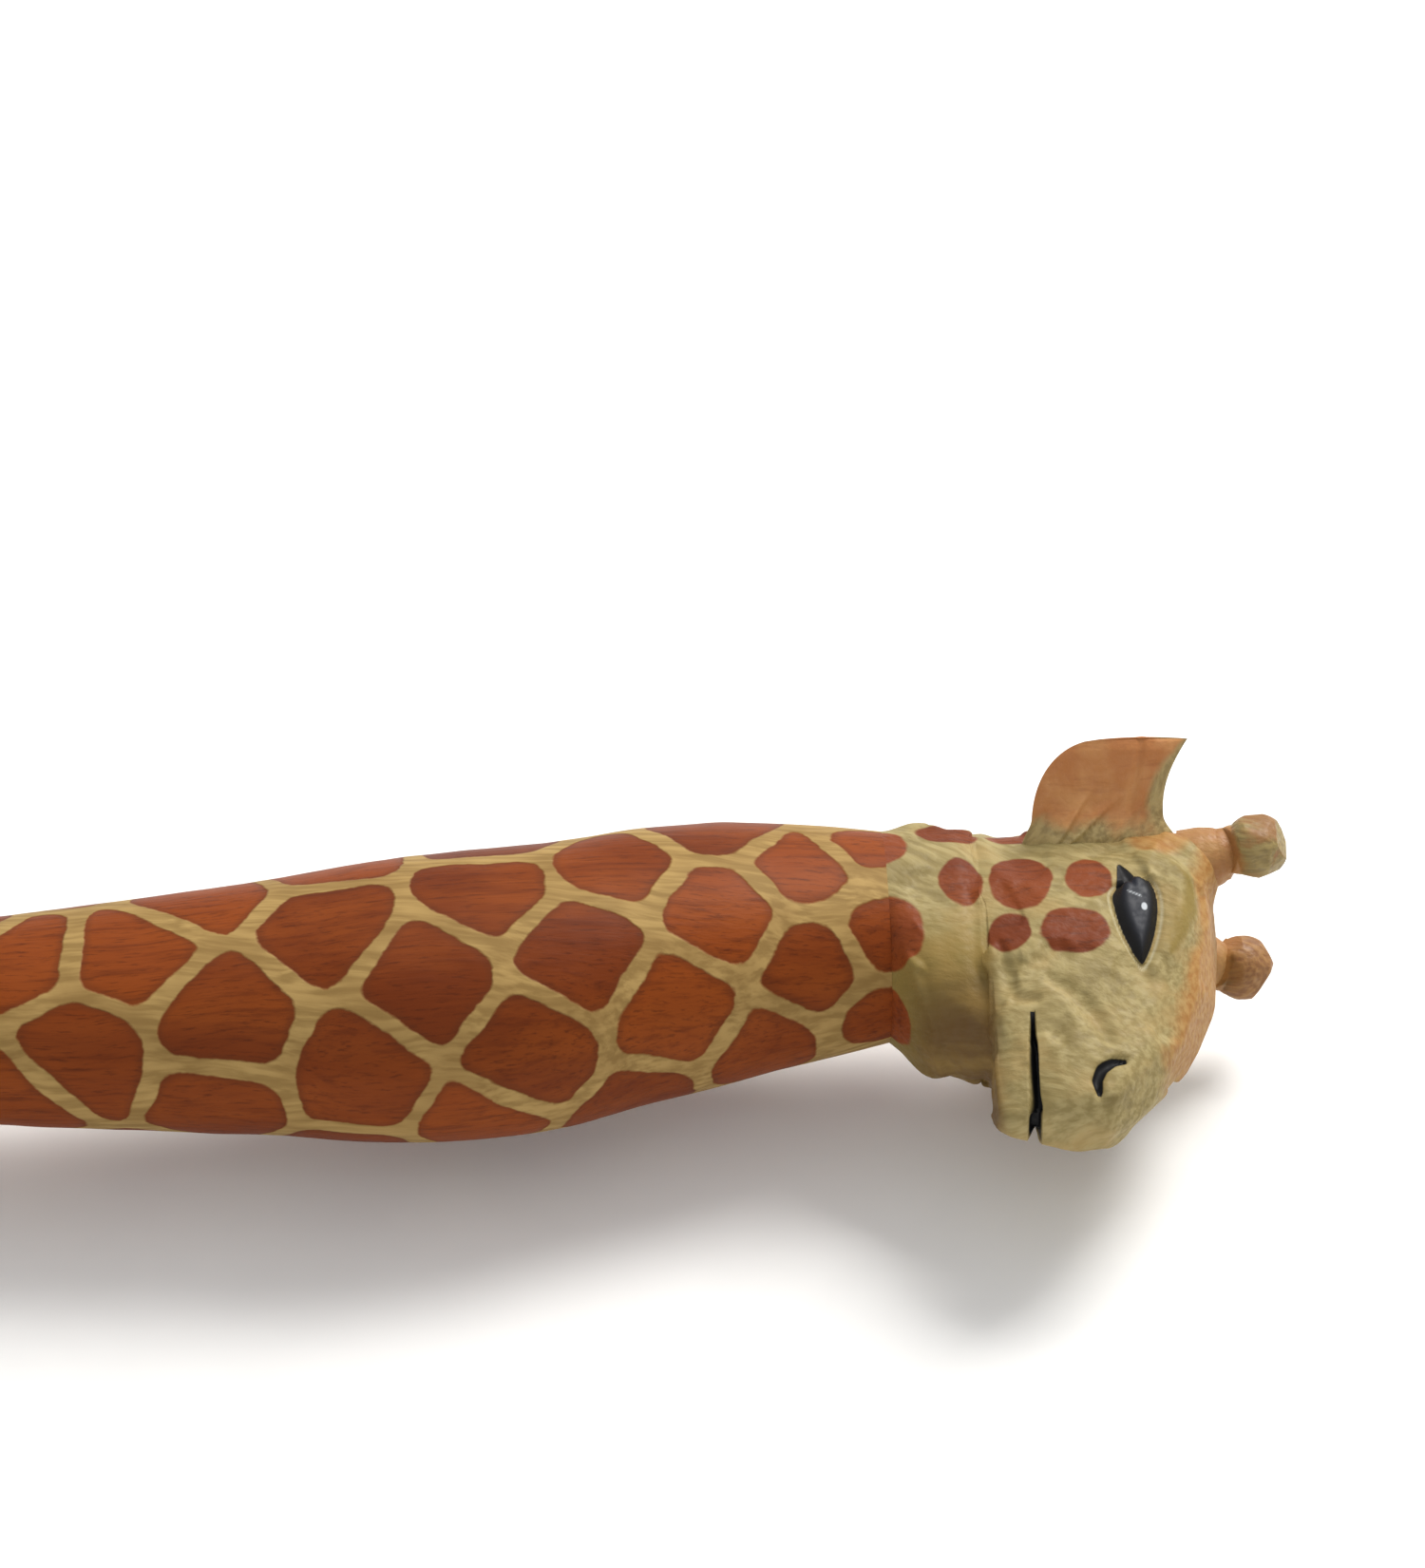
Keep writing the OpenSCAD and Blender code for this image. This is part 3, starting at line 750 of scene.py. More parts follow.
# %% Strokes and facets
def stroke(height, y, route, half_width, taper=0.0):
    """Millimetres inside a stroke drawn through points of (height, y); negative outside it."""
    route = np.array(route, float)
    inside = np.full(len(height), -99.0)
    length = np.r_[0, np.cumsum(np.linalg.norm(np.diff(route, axis=0), axis=1))]
    for k, (a, b) in enumerate(zip(route, route[1:])):
        step = b - a
        t = np.clip(((height - a[0]) * step[0] + (y - a[1]) * step[1]) / (step @ step), 0, 1)
        away = np.hypot(height - a[0] - t * step[0], y - a[1] - t * step[1])
        done = (length[k] + t * (length[k + 1] - length[k])) / length[-1]
        width = half_width * (1 - taper * np.abs(2 * done - 1) ** 2)
        inside = np.maximum(inside, width - away)
    return inside


def blot(height, y, middle, half_sizes):
    """Millimetres inside an oval spot of paint."""
    ratio = np.hypot((height - middle[0]) / half_sizes[0], (y - middle[1]) / half_sizes[1])
    return (1 - ratio) * min(half_sizes)


def whittle(points, normals, spacing, tilt, limit, seed):
    """How far each point moves along its normal to lie on the nearest knife facets."""
    rng = np.random.default_rng(seed)
    order = rng.permutation(len(points))[:12000]
    chosen = []
    for k in order:
        spots = points[chosen]
        if not chosen or np.min(((spots - points[k]) ** 2).sum(1)) > spacing ** 2:
            chosen.append(k)
    spots = points[chosen]
    aims = normals[chosen] + rng.normal(0, tilt, (len(chosen), 3))
    aims /= np.linalg.norm(aims, axis=1)[:, None]
    moves = np.empty(len(points))
    for start in range(0, len(points), BLOCK):
        block = slice(start, start + BLOCK)
        part, lean = points[block], normals[block]
        gap = ((part[:, None] - spots[None]) ** 2).sum(2)
        near = np.argsort(gap, axis=1)[:, :5]
        facing = np.maximum((lean[:, None] * aims[near]).sum(2), 0.4)
        reach = ((spots[near] - part[:, None]) * aims[near]).sum(2) / facing
        reach[np.take_along_axis(gap, near, axis=1) > (1.9 * spacing) ** 2] = limit
        moves[block] = np.clip(reach.min(axis=1), -limit, limit)
    return moves


def calm_rings(values, sides, passes):
    """Evens out values along and round a mesh that is made of rings."""
    grid = values.reshape(-1, sides)
    for _ in range(passes):
        grid = (np.roll(grid, 1, 1) + 2 * grid + np.roll(grid, -1, 1)) / 4
        longer = np.pad(grid, ((1, 1), (0, 0)), mode="edge")
        grid = (longer[:-2] + 2 * grid + longer[2:]) / 4
    return grid.ravel()


# %% [markdown]
# ## Carving the face
# All places on the face are given as a height above the neck joint and a distance from the
# shaft's axis, towards the back if positive. The same cuts are made on both sides. First come the
# facets of the whole head, then the eye, the brow, the mouth, the nostrils and the creases.

# %% Places on the face
EYE_BACK, EYE_FRONT, EYE_HALF = (36.2, 6.0), (36.5, -9.0), 3.4
LASH = [(34.4, 9.6), (35.2, 7.0), (35.6, 5.4), (36.0, 3.8)]
BROW = [(41.5, 9.5), (43.9, 6.5), (44.0, 2.0), (42.3, -2.5), (40.4, -6.5)]
MOUTH = [(19.7, -17.0), (19.4, -22.0), (19.2, -27.0), (19.1, -37.0)]
NOSTRIL = [(32.8, -25.2), (31.0, -25.7), (29.2, -27.0), (28.4, -28.7), (28.7, -30.6)]
NOSE_WING = ((30.9, -28.6), (2.0, 2.4))
MOUTH_END = -16.8
CHEEK_CREASE = [(23.0, -12.0), (26.5, -15.5), (29.3, -19.0), (30.6, -22.0)]
JAW_CREASE = [(15.6, -5.0), (16.6, -10.5), (17.2, -14.6), (20.4, -15.2)]
TEMPLE_CREASE = [(31.0, 13.0), (33.5, 14.5), (38.5, 13.5)]


def eye_leaf(height, y):
    """Millimetres inside the almond of the eye, widest a third of the way from its back."""
    t = (EYE_BACK[1] - y) / (EYE_BACK[1] - EYE_FRONT[1])
    middle = EYE_BACK[0] + (EYE_FRONT[0] - EYE_BACK[0]) * t
    inside = np.clip(t, 0, 1)
    width = EYE_HALF * np.sin(np.pi * inside ** 0.54) ** 0.68
    return np.where((t > 0) & (t < 1), width - np.abs(height - middle),
                    -np.hypot(height - middle, np.minimum(t, 1 - t) * 15.6))


def carve_face():
    points, normals = read_points(head), read_normals(head)
    calm = smooth_step(0.5, 5, points[:, 0] - head_x)
    facets = calm_rings(whittle(points, normals, 6.5, 0.09, 0.7, 4), head_sides, 3)
    points = points + normals * (facets * calm)[:, None]
    write_points(head, points)
    normals = read_normals(head)
    height, y, z = points[:, 0] - head_x, points[:, 1], points[:, 2]
    sides = smooth_step(2.0, 4.5, np.abs(z))
    eye = eye_leaf(height, y)
    lift = 0.55 * smooth_step(0.0, 2.2, eye) - 0.75 * np.exp(-(eye / 0.75) ** 2)
    lift -= 0.35 * smooth_step(3.2, 0.4, -eye) * (eye < 0)
    for amount, low, high, inside in (
            (0.85, -1.8, 0.9, stroke(height, y, BROW, 1.0, 0.5)),
            (-0.30, -0.4, 0.5, stroke(height, y, LASH, 0.6, 0.7)),
            (-1.10, -0.5, 0.5, stroke(height, y, NOSTRIL, 0.75, 0.4)),
            (0.30, -1.4, 0.6, blot(height, y, *NOSE_WING)),
            (-0.80, -1.5, 1.0, stroke(height, y, CHEEK_CREASE, 1.1, 0.6)),
            (-0.60, -1.0, 0.5, stroke(height, y, JAW_CREASE, 0.6, 0.5)),
            (-0.60, -1.5, 0.6, stroke(height, y, TEMPLE_CREASE, 0.8, 0.6))):
        lift += amount * smooth_step(low, high, inside)
    lift = lift * sides
    boss = np.hypot(np.hypot(height - crown, y - neck_shift - 3.7), np.abs(z) - 10.5)
    lift += 2.0 * smooth_step(8.5, 2.5, boss)
    opening = 0.32 + 0.28 * smooth_step(-19, -25, y) + 0.25 * smooth_step(-29.5, -32, y)
    gap = stroke(height, y, MOUTH, 0.0) + opening
    cut = smooth_step(-0.25, 0.3, gap) * (y < MOUTH_END)
    lift -= 2.4 * cut * smooth_step(MOUTH_END, -20.5, y)
    points = points + normals * lift[:, None]
    write_points(head, points)
    return height, y, z, eye, gap


height, face_y_mm, face_z, eye_mm, gap_mm = carve_face()
print("face carved, deepest eye point", round(float(eye_mm.max()), 2), "mm inside its outline")

# %% [markdown]
# ## Paint maps of the head
# The paint follows the carving, so its outlines are stored on the mesh as distances in
# millimetres, which stay sharp however close the view is. Spots on the head are single ovals. Near
# the joint the neck's own patches run on over the head, so that the join doesn't show.

# %% Paint maps
OUTSIDE = -9.0  # millimetres, well outside any outline
HEAD_SPOTS = [((10.7, 8.3), (3.3, 4.9)), ((19.8, 7.6), (4.7, 6.2)), ((29.4, 7.0), (3.5, 4.7)),
              ((17.3, -3.0), (3.2, 3.8)), ((26.9, -3.8), (5.3, 4.0)), ((9.6, 20.5), (4.6, 2.9)),
              ((20.5, 21.0), (5.4, 2.6)), ((13.5, 28.0), (4.0, 3.6)), ((24.5, 27.5), (4.4, 3.2))]


def paint_head():
    field, tone = patch_field(read_points(head))
    spots = np.full(len(height), OUTSIDE)
    left = face_z < 0
    for number, (middle, sizes) in enumerate(HEAD_SPOTS):
        shift = np.where(left, 1.1 * math.sin(2.3 * number), 0.0)
        oval = blot(height - shift, face_y_mm + shift, middle, sizes)
        spots = np.maximum(spots, oval + PATCH_LINE)
        tone = np.where(oval > -1, 0.1 + 0.1 * math.sin(1.7 * number), tone)
    net = np.where(height < 12, field, OUTSIDE)
    store(head, "patch_edge", np.maximum(net, spots))
    store(head, "patch_tone", tone)
    on_side = np.where(np.abs(face_z) > 3.5, 0.0, OUTSIDE)
    lash = stroke(height, face_y_mm, LASH, 0.0) + np.interp(face_y_mm, [3.5, 9.6], [2.5, 0.35])
    nostril = stroke(height, face_y_mm, NOSTRIL, 0.85, 0.5)
    ink = np.maximum(np.maximum(eye_mm, lash), nostril) + on_side
    mouth_ink = np.where(face_y_mm < MOUTH_END, gap_mm + 0.05, OUTSIDE)
    store(head, "ink", np.maximum(ink, mouth_ink))
    store(head, "eye", eye_mm + on_side)
    # The glint is a painted highlight on the eye: a pale dot and a short grey stroke.
    glint = blot(height, face_y_mm, (37.3, 0.1), (0.55, 0.8))
    glint = np.maximum(glint, 0.5 * stroke(height, face_y_mm, [(35.2, 2.6), (36.9, 1.9)], 0.35))
    store(head, "glint", glint + on_side)
    store(head, "pale", 0.5 - np.abs(eye_mm + 0.6) + on_side)
    forehead = height - (45.0 + 0.28 * np.minimum(face_y_mm, 0))
    temple = blot(height, face_y_mm, (41.0, 16.5), (5.0, 5.0))
    store(head, "tan", np.maximum(forehead, temple))
    store(head, "brow", stroke(height, face_y_mm, BROW, 1.1, 0.6) + on_side)
    # Where the olive goes under the jaw; it deepens there towards the front as painted shade.
    store(head, "throat", smooth_step(5, -6, face_y_mm) * smooth_step(15.6, 13.4, height))
    store(head, "front", -face_y_mm)


paint_head()


# %% [markdown]
# ## Finish: painted head
# The head wears the same stain and cream as the neck, and these extra coats: tan rubbed over the
# forehead and nose, olive on the brow and under the jaw, where it deepens towards the front as painted
# shade, pale lines round the eye, and glossy black in the eye, mouth and nostrils, which turns bluish
# inside the eye as a painted reflection and carries a pale painted glint.

# %% Painted head material
def painted_head():
    material, tree, shader = new_material("painted_head")
    grain = use_group(tree, grain_group, Fineness=0.9, Sway=2.0)
    brush = use_group(tree, brush_group, Turn=38.0, Fineness=0.9)
    cream = lay(tree, paint(HEAD_CREAM[0]), (brush["Bristle"], 0.34, 0.66, 1, HEAD_CREAM[1]),
                (brush["Blotch"], 0.45, 0.7, 0.6, HEAD_CREAM[2]),
                (brush["Blotch"], 0.45, 0.3, 0.55, HEAD_CREAM[3]))
    shaky = shaken(tree, brush, 2.6)
    tan = lay(tree, paint(HEAD_TAN[0]), (brush["Bristle"], 0.3, 0.7, 1, HEAD_TAN[1]))
    rubbed = plus(tree, attribute(tree, "tan"), times(tree, shaky, 1.6))
    colour = coat(tree, edge(tree, rubbed, -0.8, 1.6, 0, 0.8), cream, tan)
    # Olive under the jaw, deepening to brown towards the front as painted shade; the brow uses the
    # olive.
    olive_and_shade = lay(tree, paint(HEAD_OLIVE_AND_SHADE[0]), (attribute(tree, "front"), 3, 15, 1, HEAD_OLIVE_AND_SHADE[1]),
                (brush["Blotch"], 0.4, 0.7, 0.6, HEAD_OLIVE_AND_SHADE[2]))
    colour = coat(tree, times(tree, attribute(tree, "throat"), 0.85), colour, olive_and_shade)
    brow = plus(tree, attribute(tree, "brow"), times(tree, shaky, 0.6))
    colour = lay(tree, colour, (brow, -0.3, 0.7, 0.8, HEAD_OLIVE_AND_SHADE[0]))
    wood = stain_coats(tree, grain)
    spot = plus(tree, attribute(tree, "patch_edge"), times(tree, shaky, 0.8))
    on_spot = edge(tree, spot, 1.15, 1.65)
    colour = coat(tree, on_spot, colour, wood)
    colour = lay(tree, colour, (attribute(tree, "pale"), 0.1, 0.7, 0.6, "d8d2b4"))
    ink_line = plus(tree, attribute(tree, "ink"), times(tree, shaky, 0.12))
    ink_mask = edge(tree, ink_line, -0.08, 0.12)
    # Black ink; bluish deep in the eye as a painted reflection, with a pale painted glint.
    ink = lay(tree, paint("0b0b0e"), (attribute(tree, "eye"), 0.8, 2.6, 0.5, "1c2230"),
              (attribute(tree, "glint"), 0.0, 0.2, 0.8, "c9ced2"))
    fill(shader.inputs["Base Color"], coat(tree, ink_mask, colour, ink))
    rough = edge(tree, brush["Fleck"], 0.3, 0.7, 0.55, 0.72)
    gloss = edge(tree, attribute(tree, "eye"), -0.2, 0.2, 0, 0.12)
    fill(shader.inputs["Roughness"], minus(tree, rough, gloss))
    shader.inputs["Specular IOR Level"].default_value = 0.25
    height = plus(tree, times(tree, brush["Bristle"], 0.9), times(tree, brush["Fleck"], 0.5))
    smooth_ink = times(tree, height, minus(tree, 1.0, ink_mask))
    raise_surface(tree, shader, smooth_ink, 0.17)
    return material


head.data.materials.append(painted_head())
head.data.set_sharp_from_angle(angle=math.radians(60))
print("head painted")

# %% [markdown]
# ## Ears
# Each ear is a leaf of wood set into the side of the skull. Its inner face, which looks forward,
# is hollowed with a gouge, and its outer edge ends in a straight cut with a sharp corner. The
# mesh is a front sheet and a back sheet that meet along a thin rim. `reach` runs from the root
# to the edge, `across` from the lower side to the upper side.

# %% Ear shape
ear_lean = math.radians(22)
ear_reach = 14.8
ear_root = np.array([ear_low[0] + 9.75, neck_shift + 7,
                     ear_high[2] - axis_z - ear_reach * math.cos(ear_lean) - 0.4])
ear_rows, ear_columns = 70, 90


def ear_outline(reach):
    out = np.clip(reach, 0, 1)
    lower = -10.4 + 10.2 * (1 - np.sqrt(1 - out ** 2.5)) - 1.4 * smooth_step(0.18, -0.1, reach)
    upper = 9.6 - 0.9 * np.sin(np.pi * out) + 3.3 * out ** 2 + 1.6 * smooth_step(0.2, -0.1, reach)
    return lower, upper


def ear_sheet(side_sign):
    """Points of the front (-1) or back (+1) sheet of an ear, in the ear's own directions."""
    reach, across = np.meshgrid(np.linspace(-0.22, 1, ear_rows), np.linspace(0, 1, ear_columns),
                                indexing="ij")
    lower, upper = ear_outline(reach)
    x = lower + (upper - lower) * across
    hollow = 4 * across * (1 - across)
    thick = (1.9 - 1.2 * np.clip(reach, 0, 1)) * np.clip(1 - np.abs(2 * across - 1) ** 5, 0, 1)
    thick = thick * np.clip((1 - reach) * 9, 0, 1) ** 0.5
    thick = np.maximum(thick, 0)
    bend = 1.5 * hollow * smooth_step(0.0, 0.35, reach) * (1 - 0.35 * reach)
    if side_sign < 0:
        crease = np.exp(-((x - 6.2 + 2.6 * (1 - reach)) / 0.55) ** 2)
        fold_1 = np.exp(-((x + 6.5 - 10 * reach) / 0.7) ** 2) * smooth_step(0.6, 0.2, reach)
        fold_2 = np.exp(-((x + 4.5 - 17 * reach) / 0.8) ** 2) * smooth_step(0.5, 0.15, reach)
        y = bend - thick + 0.35 * crease * smooth_step(0.05, 0.4, reach) - 0.7 * fold_1
        y = y - 0.6 * fold_2
    else:
        y = 0.7 * bend + thick
    y = y - 1.0 * across
    return np.stack([x, y, reach * ear_reach], axis=-1), reach, across


def ear_piece(name, side):
    front, reach, across = ear_sheet(-1)
    back, _, _ = ear_sheet(1)
    lean = np.array([[1, 0, 0], [0, math.cos(ear_lean), math.sin(ear_lean)],
                     [0, -math.sin(ear_lean), math.cos(ear_lean)]])
    points = np.concatenate([front.reshape(-1, 3), back.reshape(-1, 3)]) @ lean.T + ear_root
    points[:, 2] *= side
    count = ear_rows * ear_columns

    def index(sheet, row, column):
        return sheet * count + row * ear_columns + column

    faces = [[index(sheet, r, c), index(sheet, r, c + 1), index(sheet, r + 1, c + 1),
              index(sheet, r + 1, c)]
             for sheet in (0, 1) for r in range(ear_rows - 1) for c in range(ear_columns - 1)]
    loop = ([(0, c) for c in range(ear_columns)] + [(r, ear_columns - 1) for r in range(1, ear_rows)]
            + [(ear_rows - 1, c) for c in range(ear_columns - 2, -1, -1)]
            + [(r, 0) for r in range(ear_rows - 2, 0, -1)])
    faces += [[index(0, *a), index(0, *b), index(1, *b), index(1, *a)]
              for a, b in zip(loop, loop[1:] + loop[:1])]
    rim_mm = (1 - across) * 19 - 0.7 + 1.2 * smooth_step(0.5, 1.0, reach)
    inside = np.concatenate([rim_mm.ravel(), (rim_mm - 6).ravel()])
    return make_piece(name, points, faces, inside=inside, reach=np.tile(reach.ravel(), 2))


def painted_ear():
    material, tree, shader = new_material("painted_ear")
    grain = use_group(tree, grain_group, Fineness=1.1, Sway=2.0)
    brush = use_group(tree, brush_group, Turn=70.0, Fineness=1.0)
    cream = lay(tree, paint(EAR_CREAM[0]), (brush["Bristle"], 0.35, 0.65, 1, EAR_CREAM[1]))
    tan = lay(tree, paint(EAR_TAN[0]), (brush["Blotch"], 0.35, 0.7, 1, EAR_TAN[1]),
              (grain["Streak"], 0.5, 0.7, 0.5, EAR_TAN[2]))
    inner = edge(tree, plus(tree, attribute(tree, "inside"), shaken(tree, brush, 3.0)), 0.5, 2.2)
    reach = plus(tree, attribute(tree, "reach"), times(tree, brush["Blotch"], 0.5))
    root = edge(tree, reach, 0.28, 0.52)
    colour = coat(tree, times(tree, inner, root), cream, tan)
    fill(shader.inputs["Base Color"], colour)
    fill(shader.inputs["Roughness"], edge(tree, brush["Fleck"], 0.3, 0.7, 0.55, 0.72))
    height = plus(tree, brush["Bristle"], times(tree, brush["Fleck"], 0.5))
    raise_surface(tree, shader, height, 0.16)
    return material


ear_paint = painted_ear()
right_ear = ear_piece("right_ear_leaf", 1)
left_ear = ear_piece("left_ear_leaf", -1)
for ear in (right_ear, left_ear):
    ear.data.materials.append(ear_paint)
    ear.data.set_sharp_from_angle(angle=math.radians(60))
print("ears", [round(v, 4) for v in right_ear.dimensions])

# %% [markdown]
# ## Horns
# A giraffe's horns are short, with a round knob. They could be turned on a lathe, but these are
# whittled, so the outline is turned first and flat knife cuts are then made all round. A knife cut
# is a plane: every point that stands out past the plane is pushed back onto it.

# %% Knife cuts
def knife_cuts(points, middle, radius, count, bite, seed):
    """Cuts `count` flat facets round a middle point, each `bite` mm inside the radius."""
    rng = np.random.default_rng(seed)
    for _ in range(count):
        aim = rng.normal(size=3)
        aim /= np.linalg.norm(aim)
        depth = radius - rng.uniform(0.3, 1.0) * bite
        over = np.clip((points - middle) @ aim - depth, 0, None)
        near = np.linalg.norm(points - middle, axis=1) < radius * 1.25
        points = points - np.outer(over * near, aim)
    return points


# %% Horn shape
horn_tilt = math.radians(15)
knob_r, stem_r = 4.9, 3.9
horn_sides = 64


def horn_piece(name, side):
    low, high = node_box("right_horn" if side > 0 else "left_horn")
    knob_x = high[0] - knob_r
    knob_z = (high[2] if side > 0 else -low[2]) - side * axis_z - knob_r
    knob = np.array([knob_x, neck_shift + 3.7, knob_z])
    along = np.array([math.cos(horn_tilt), 0, math.sin(horn_tilt)])
    sideways = np.array([-math.sin(horn_tilt), 0, math.cos(horn_tilt)])
    front = np.array([0, -1, 0])
    down = 11.0
    profile = [(-down, 5.0), (-down + 3, 4.8), (-down + 5, 4.3), (-5.2, stem_r), (-4.0, stem_r),
               (-3.4, 4.0)]
    profile += [(-knob_r * math.cos(a), knob_r * math.sin(a))
                for a in np.radians(np.linspace(54, 176, 30))]
    heights, radii = np.array(profile).T
    fine = np.linspace(0, len(profile) - 1, 150)
    heights = np.interp(fine, range(len(profile)), heights)
    radii = np.interp(fine, range(len(profile)), radii)
    turn = np.linspace(0, 2 * np.pi, horn_sides, endpoint=False)
    rings = [knob + along * h + r * (np.outer(np.cos(turn), sideways)
                                     + np.outer(np.sin(turn), front))
             for h, r in zip(heights, radii)]
    points = np.concatenate(rings)
    points = knife_cuts(points, knob, knob_r, 26, 0.55, 3 if side > 0 else 8)
    cap, depth = ((0.93, -0.1, 0.36), 3.9) if side > 0 else ((0.82, -0.30, 0.48), 3.5)
    points = points - np.outer(np.clip((points - knob) @ np.array(cap) - depth, 0, None), cap)
    points[:, 2] *= side
    piece = make_piece(name, points, tube_faces(len(rings), horn_sides),
                       knob=np.repeat(heights, horn_sides))
    piece.data.set_sharp_from_angle(angle=math.radians(60))
    return piece


def painted_horn(name, knob_a, knob_b, patch):
    material, tree, shader = new_material(name)
    brush = use_group(tree, brush_group, Turn=30.0, Fineness=1.2)
    grain = use_group(tree, grain_group, Fineness=1.1, Sway=2.0)
    stem = lay(tree, paint(HORN_STEM[0]), (brush["Blotch"], 0.35, 0.7, 1, HORN_STEM[1]),
               (grain["Streak"], 0.5, 0.7, 0.4, HORN_STEM[2]))
    knob = lay(tree, paint(knob_a), (brush["Bristle"], 0.35, 0.65, 1, knob_b),
               (brush["Blotch"], 0.54, 0.66, 0.7, patch))
    level = plus(tree, attribute(tree, "knob"), shaken(tree, brush, 6.0))
    fill(shader.inputs["Base Color"], coat(tree, edge(tree, level, -3.6, -1.8), stem, knob))
    fill(shader.inputs["Roughness"], edge(tree, brush["Fleck"], 0.3, 0.7, 0.5, 0.7))
    height = plus(tree, brush["Bristle"], times(tree, brush["Fleck"], 0.6))
    raise_surface(tree, shader, height, 0.16)
    return material


right_horn = horn_piece("right_horn_knob", 1)
left_horn = horn_piece("left_horn_knob", -1)
# The left horn, nearer the floor, gets browner and darker paint: partly its own paint, partly painted
# shade.
right_horn.data.materials.append(painted_horn("painted_right_horn", "7c693c", "94804c", "84501f"))
left_horn.data.materials.append(painted_horn("painted_left_horn_shaded", "7a4f24", "946a38", "66502a"))
print("horns", [round(v, 4) for v in right_horn.dimensions],
      [round(v, 4) for v in left_horn.dimensions])

# %% [markdown]
# ## Shaft and paddle
# The stick is sawn to its plan, a narrow shaft that flares out to a flat paddle, and then its
# edges are rounded over with a knife. Each section is a rectangle with round corners. The corner
# radius is large on the shaft and small on the paddle. One corner of the shoulder is pared down to
# a slope, which ends in a straight cut where the paddle begins.

# %% Shaft sections
paddle_x = shaft_low[0]
flare_x, slim_x = paddle_x + 21, paddle_x + 36
far_w, near_w = 16.0, 12.0
paddle_w, paddle_t = shaft_high[2] - shaft_low[2], shaft_high[1] - shaft_low[1]
corner_steps, face_steps = 8, 10
PARING = (6.0, 5.0)


def round_rectangle(half_w, half_t, radius, pared):
    """Outline of a rectangle with round corners, as (across, deep) points.

    The front corner on the right side is pared down to a flat slope by the share `pared`."""
    points = []
    slope = np.linspace(0, 1, corner_steps + 1)[:, None]
    for quarter in range(4):
        turn = np.radians(90 * quarter + np.linspace(0, 90, corner_steps + 1))
        sign = np.array([1 if quarter in (0, 3) else -1, 1 if quarter in (0, 1) else -1])
        middle = sign * (np.array([half_w, half_t]) - radius)
        corner = middle + radius * np.array([np.cos(turn), np.sin(turn)]).T
        if quarter == 0:
            low, high = np.array([[half_w, half_t - PARING[1]], [half_w - PARING[0], half_t]])
            corner += (low + (high - low) * slope - corner) * pared
        points += list(corner)
    outline = []
    for k, (a, b) in enumerate(zip(points, points[1:] + points[:1])):
        steps = face_steps if k % (corner_steps + 1) == corner_steps else 1
        outline += [a + (b - a) * n / steps for n in range(steps)]
    return outline


def flare_width(x):
    open_share = np.clip((slim_x - x) / (slim_x - flare_x), 0, 1)
    slim = far_w + (near_w - far_w) * np.clip((x - slim_x) / (neck_x - slim_x), 0, 1)
    return slim / 2 + (paddle_w - far_w) / 2 * (1 - np.cos(np.pi / 2 * open_share))


def shaft_piece():
    ends = np.array([0, 0.15, 0.4])
    xs = np.unique(np.r_[paddle_x + ends, np.arange(paddle_x + 1, flare_x, 1.0),
                         np.arange(flare_x - 0.5, flare_x + 0.7, 0.1),
                         np.arange(flare_x + 0.8, slim_x + 2, 0.4), np.arange(slim_x + 2, neck_x, 1.5),
                         neck_x])
    rings = []
    for x in xs:
        slim = smooth_step(flare_x - 1, slim_x, x)
        half_t = paddle_t / 2 + (thin_d - paddle_t) / 2 * slim
        radius = 0.7 + 2.6 * slim
        pared = smooth_step(flare_x - 0.2, flare_x + 0.5, x) * smooth_step(slim_x + 1, slim_x - 9, x)
        section = round_rectangle(flare_width(x), half_t, radius, pared)
        rings.append([(x, -deep, across) for across, deep in section])
    sides = len(rings[0])
    points = np.array(rings).reshape(-1, 3)
    wobble = 0.12 * np.sin(points[:, 0] * 0.11 + points[:, 2] * 0.3)
    points[:, 1] += wobble * smooth_step(slim_x, slim_x + 20, points[:, 0]) * (
        1 - smooth_step(neck_x - 20, neck_x, points[:, 0]))
    piece = make_piece("shaft_and_paddle", points, tube_faces(len(rings), sides))
    piece.data.set_sharp_from_angle(angle=math.radians(35))
    return piece


shaft = shaft_piece()
shaft.data.materials.append(stained)
print("shaft", [round(v, 4) for v in shaft.dimensions])

# %% [markdown]
# ## Rake
# The rake is a block glued across the end of the paddle, with its own grain, its heel rounded and
# its lip turned up into a hook. Six shallow gouge cuts run down the inside of the lip, and the
# ridges between them do the scratching. A row of equal tools is what Geometry Nodes do best: one
# rod is placed at each point of a line, and the row is then subtracted from the block. The block's
# edges are softened before that, so that the gouge cuts stay crisp. Its root runs a little way into
# the paddle, which hides the softened edge there and leaves a flush seam.

# %% Rake and its gouge row
lip_lean, lip_t, heel_l = 1.8, 2.6, 8.7
flute_r, flute_depth, flutes = 3.2, 0.7, 6
rake_edge = 0.7
lip_y, face_y = rake_low[1] - axis_y, -paddle_t / 2


def rake_outline():
    heel_y = lip_y + 0.55 * (face_y - lip_y)
    turn = np.radians(np.linspace(0, 90, 15))
    heel = [(rake_low[0] + heel_l * (1 - np.sin(a) ** 1.4),
             heel_y + (paddle_t / 2 - heel_y) * np.cos(a) ** 1.4) for a in turn]
    return [(paddle_x + rake_edge, paddle_t / 2), *heel, (rake_low[0] + lip_lean, lip_y),
            (rake_low[0] + lip_lean + lip_t, lip_y), (rake_low[0] + rake_root, root_y),
            (paddle_x - 1, face_y), (paddle_x + rake_edge, face_y)]


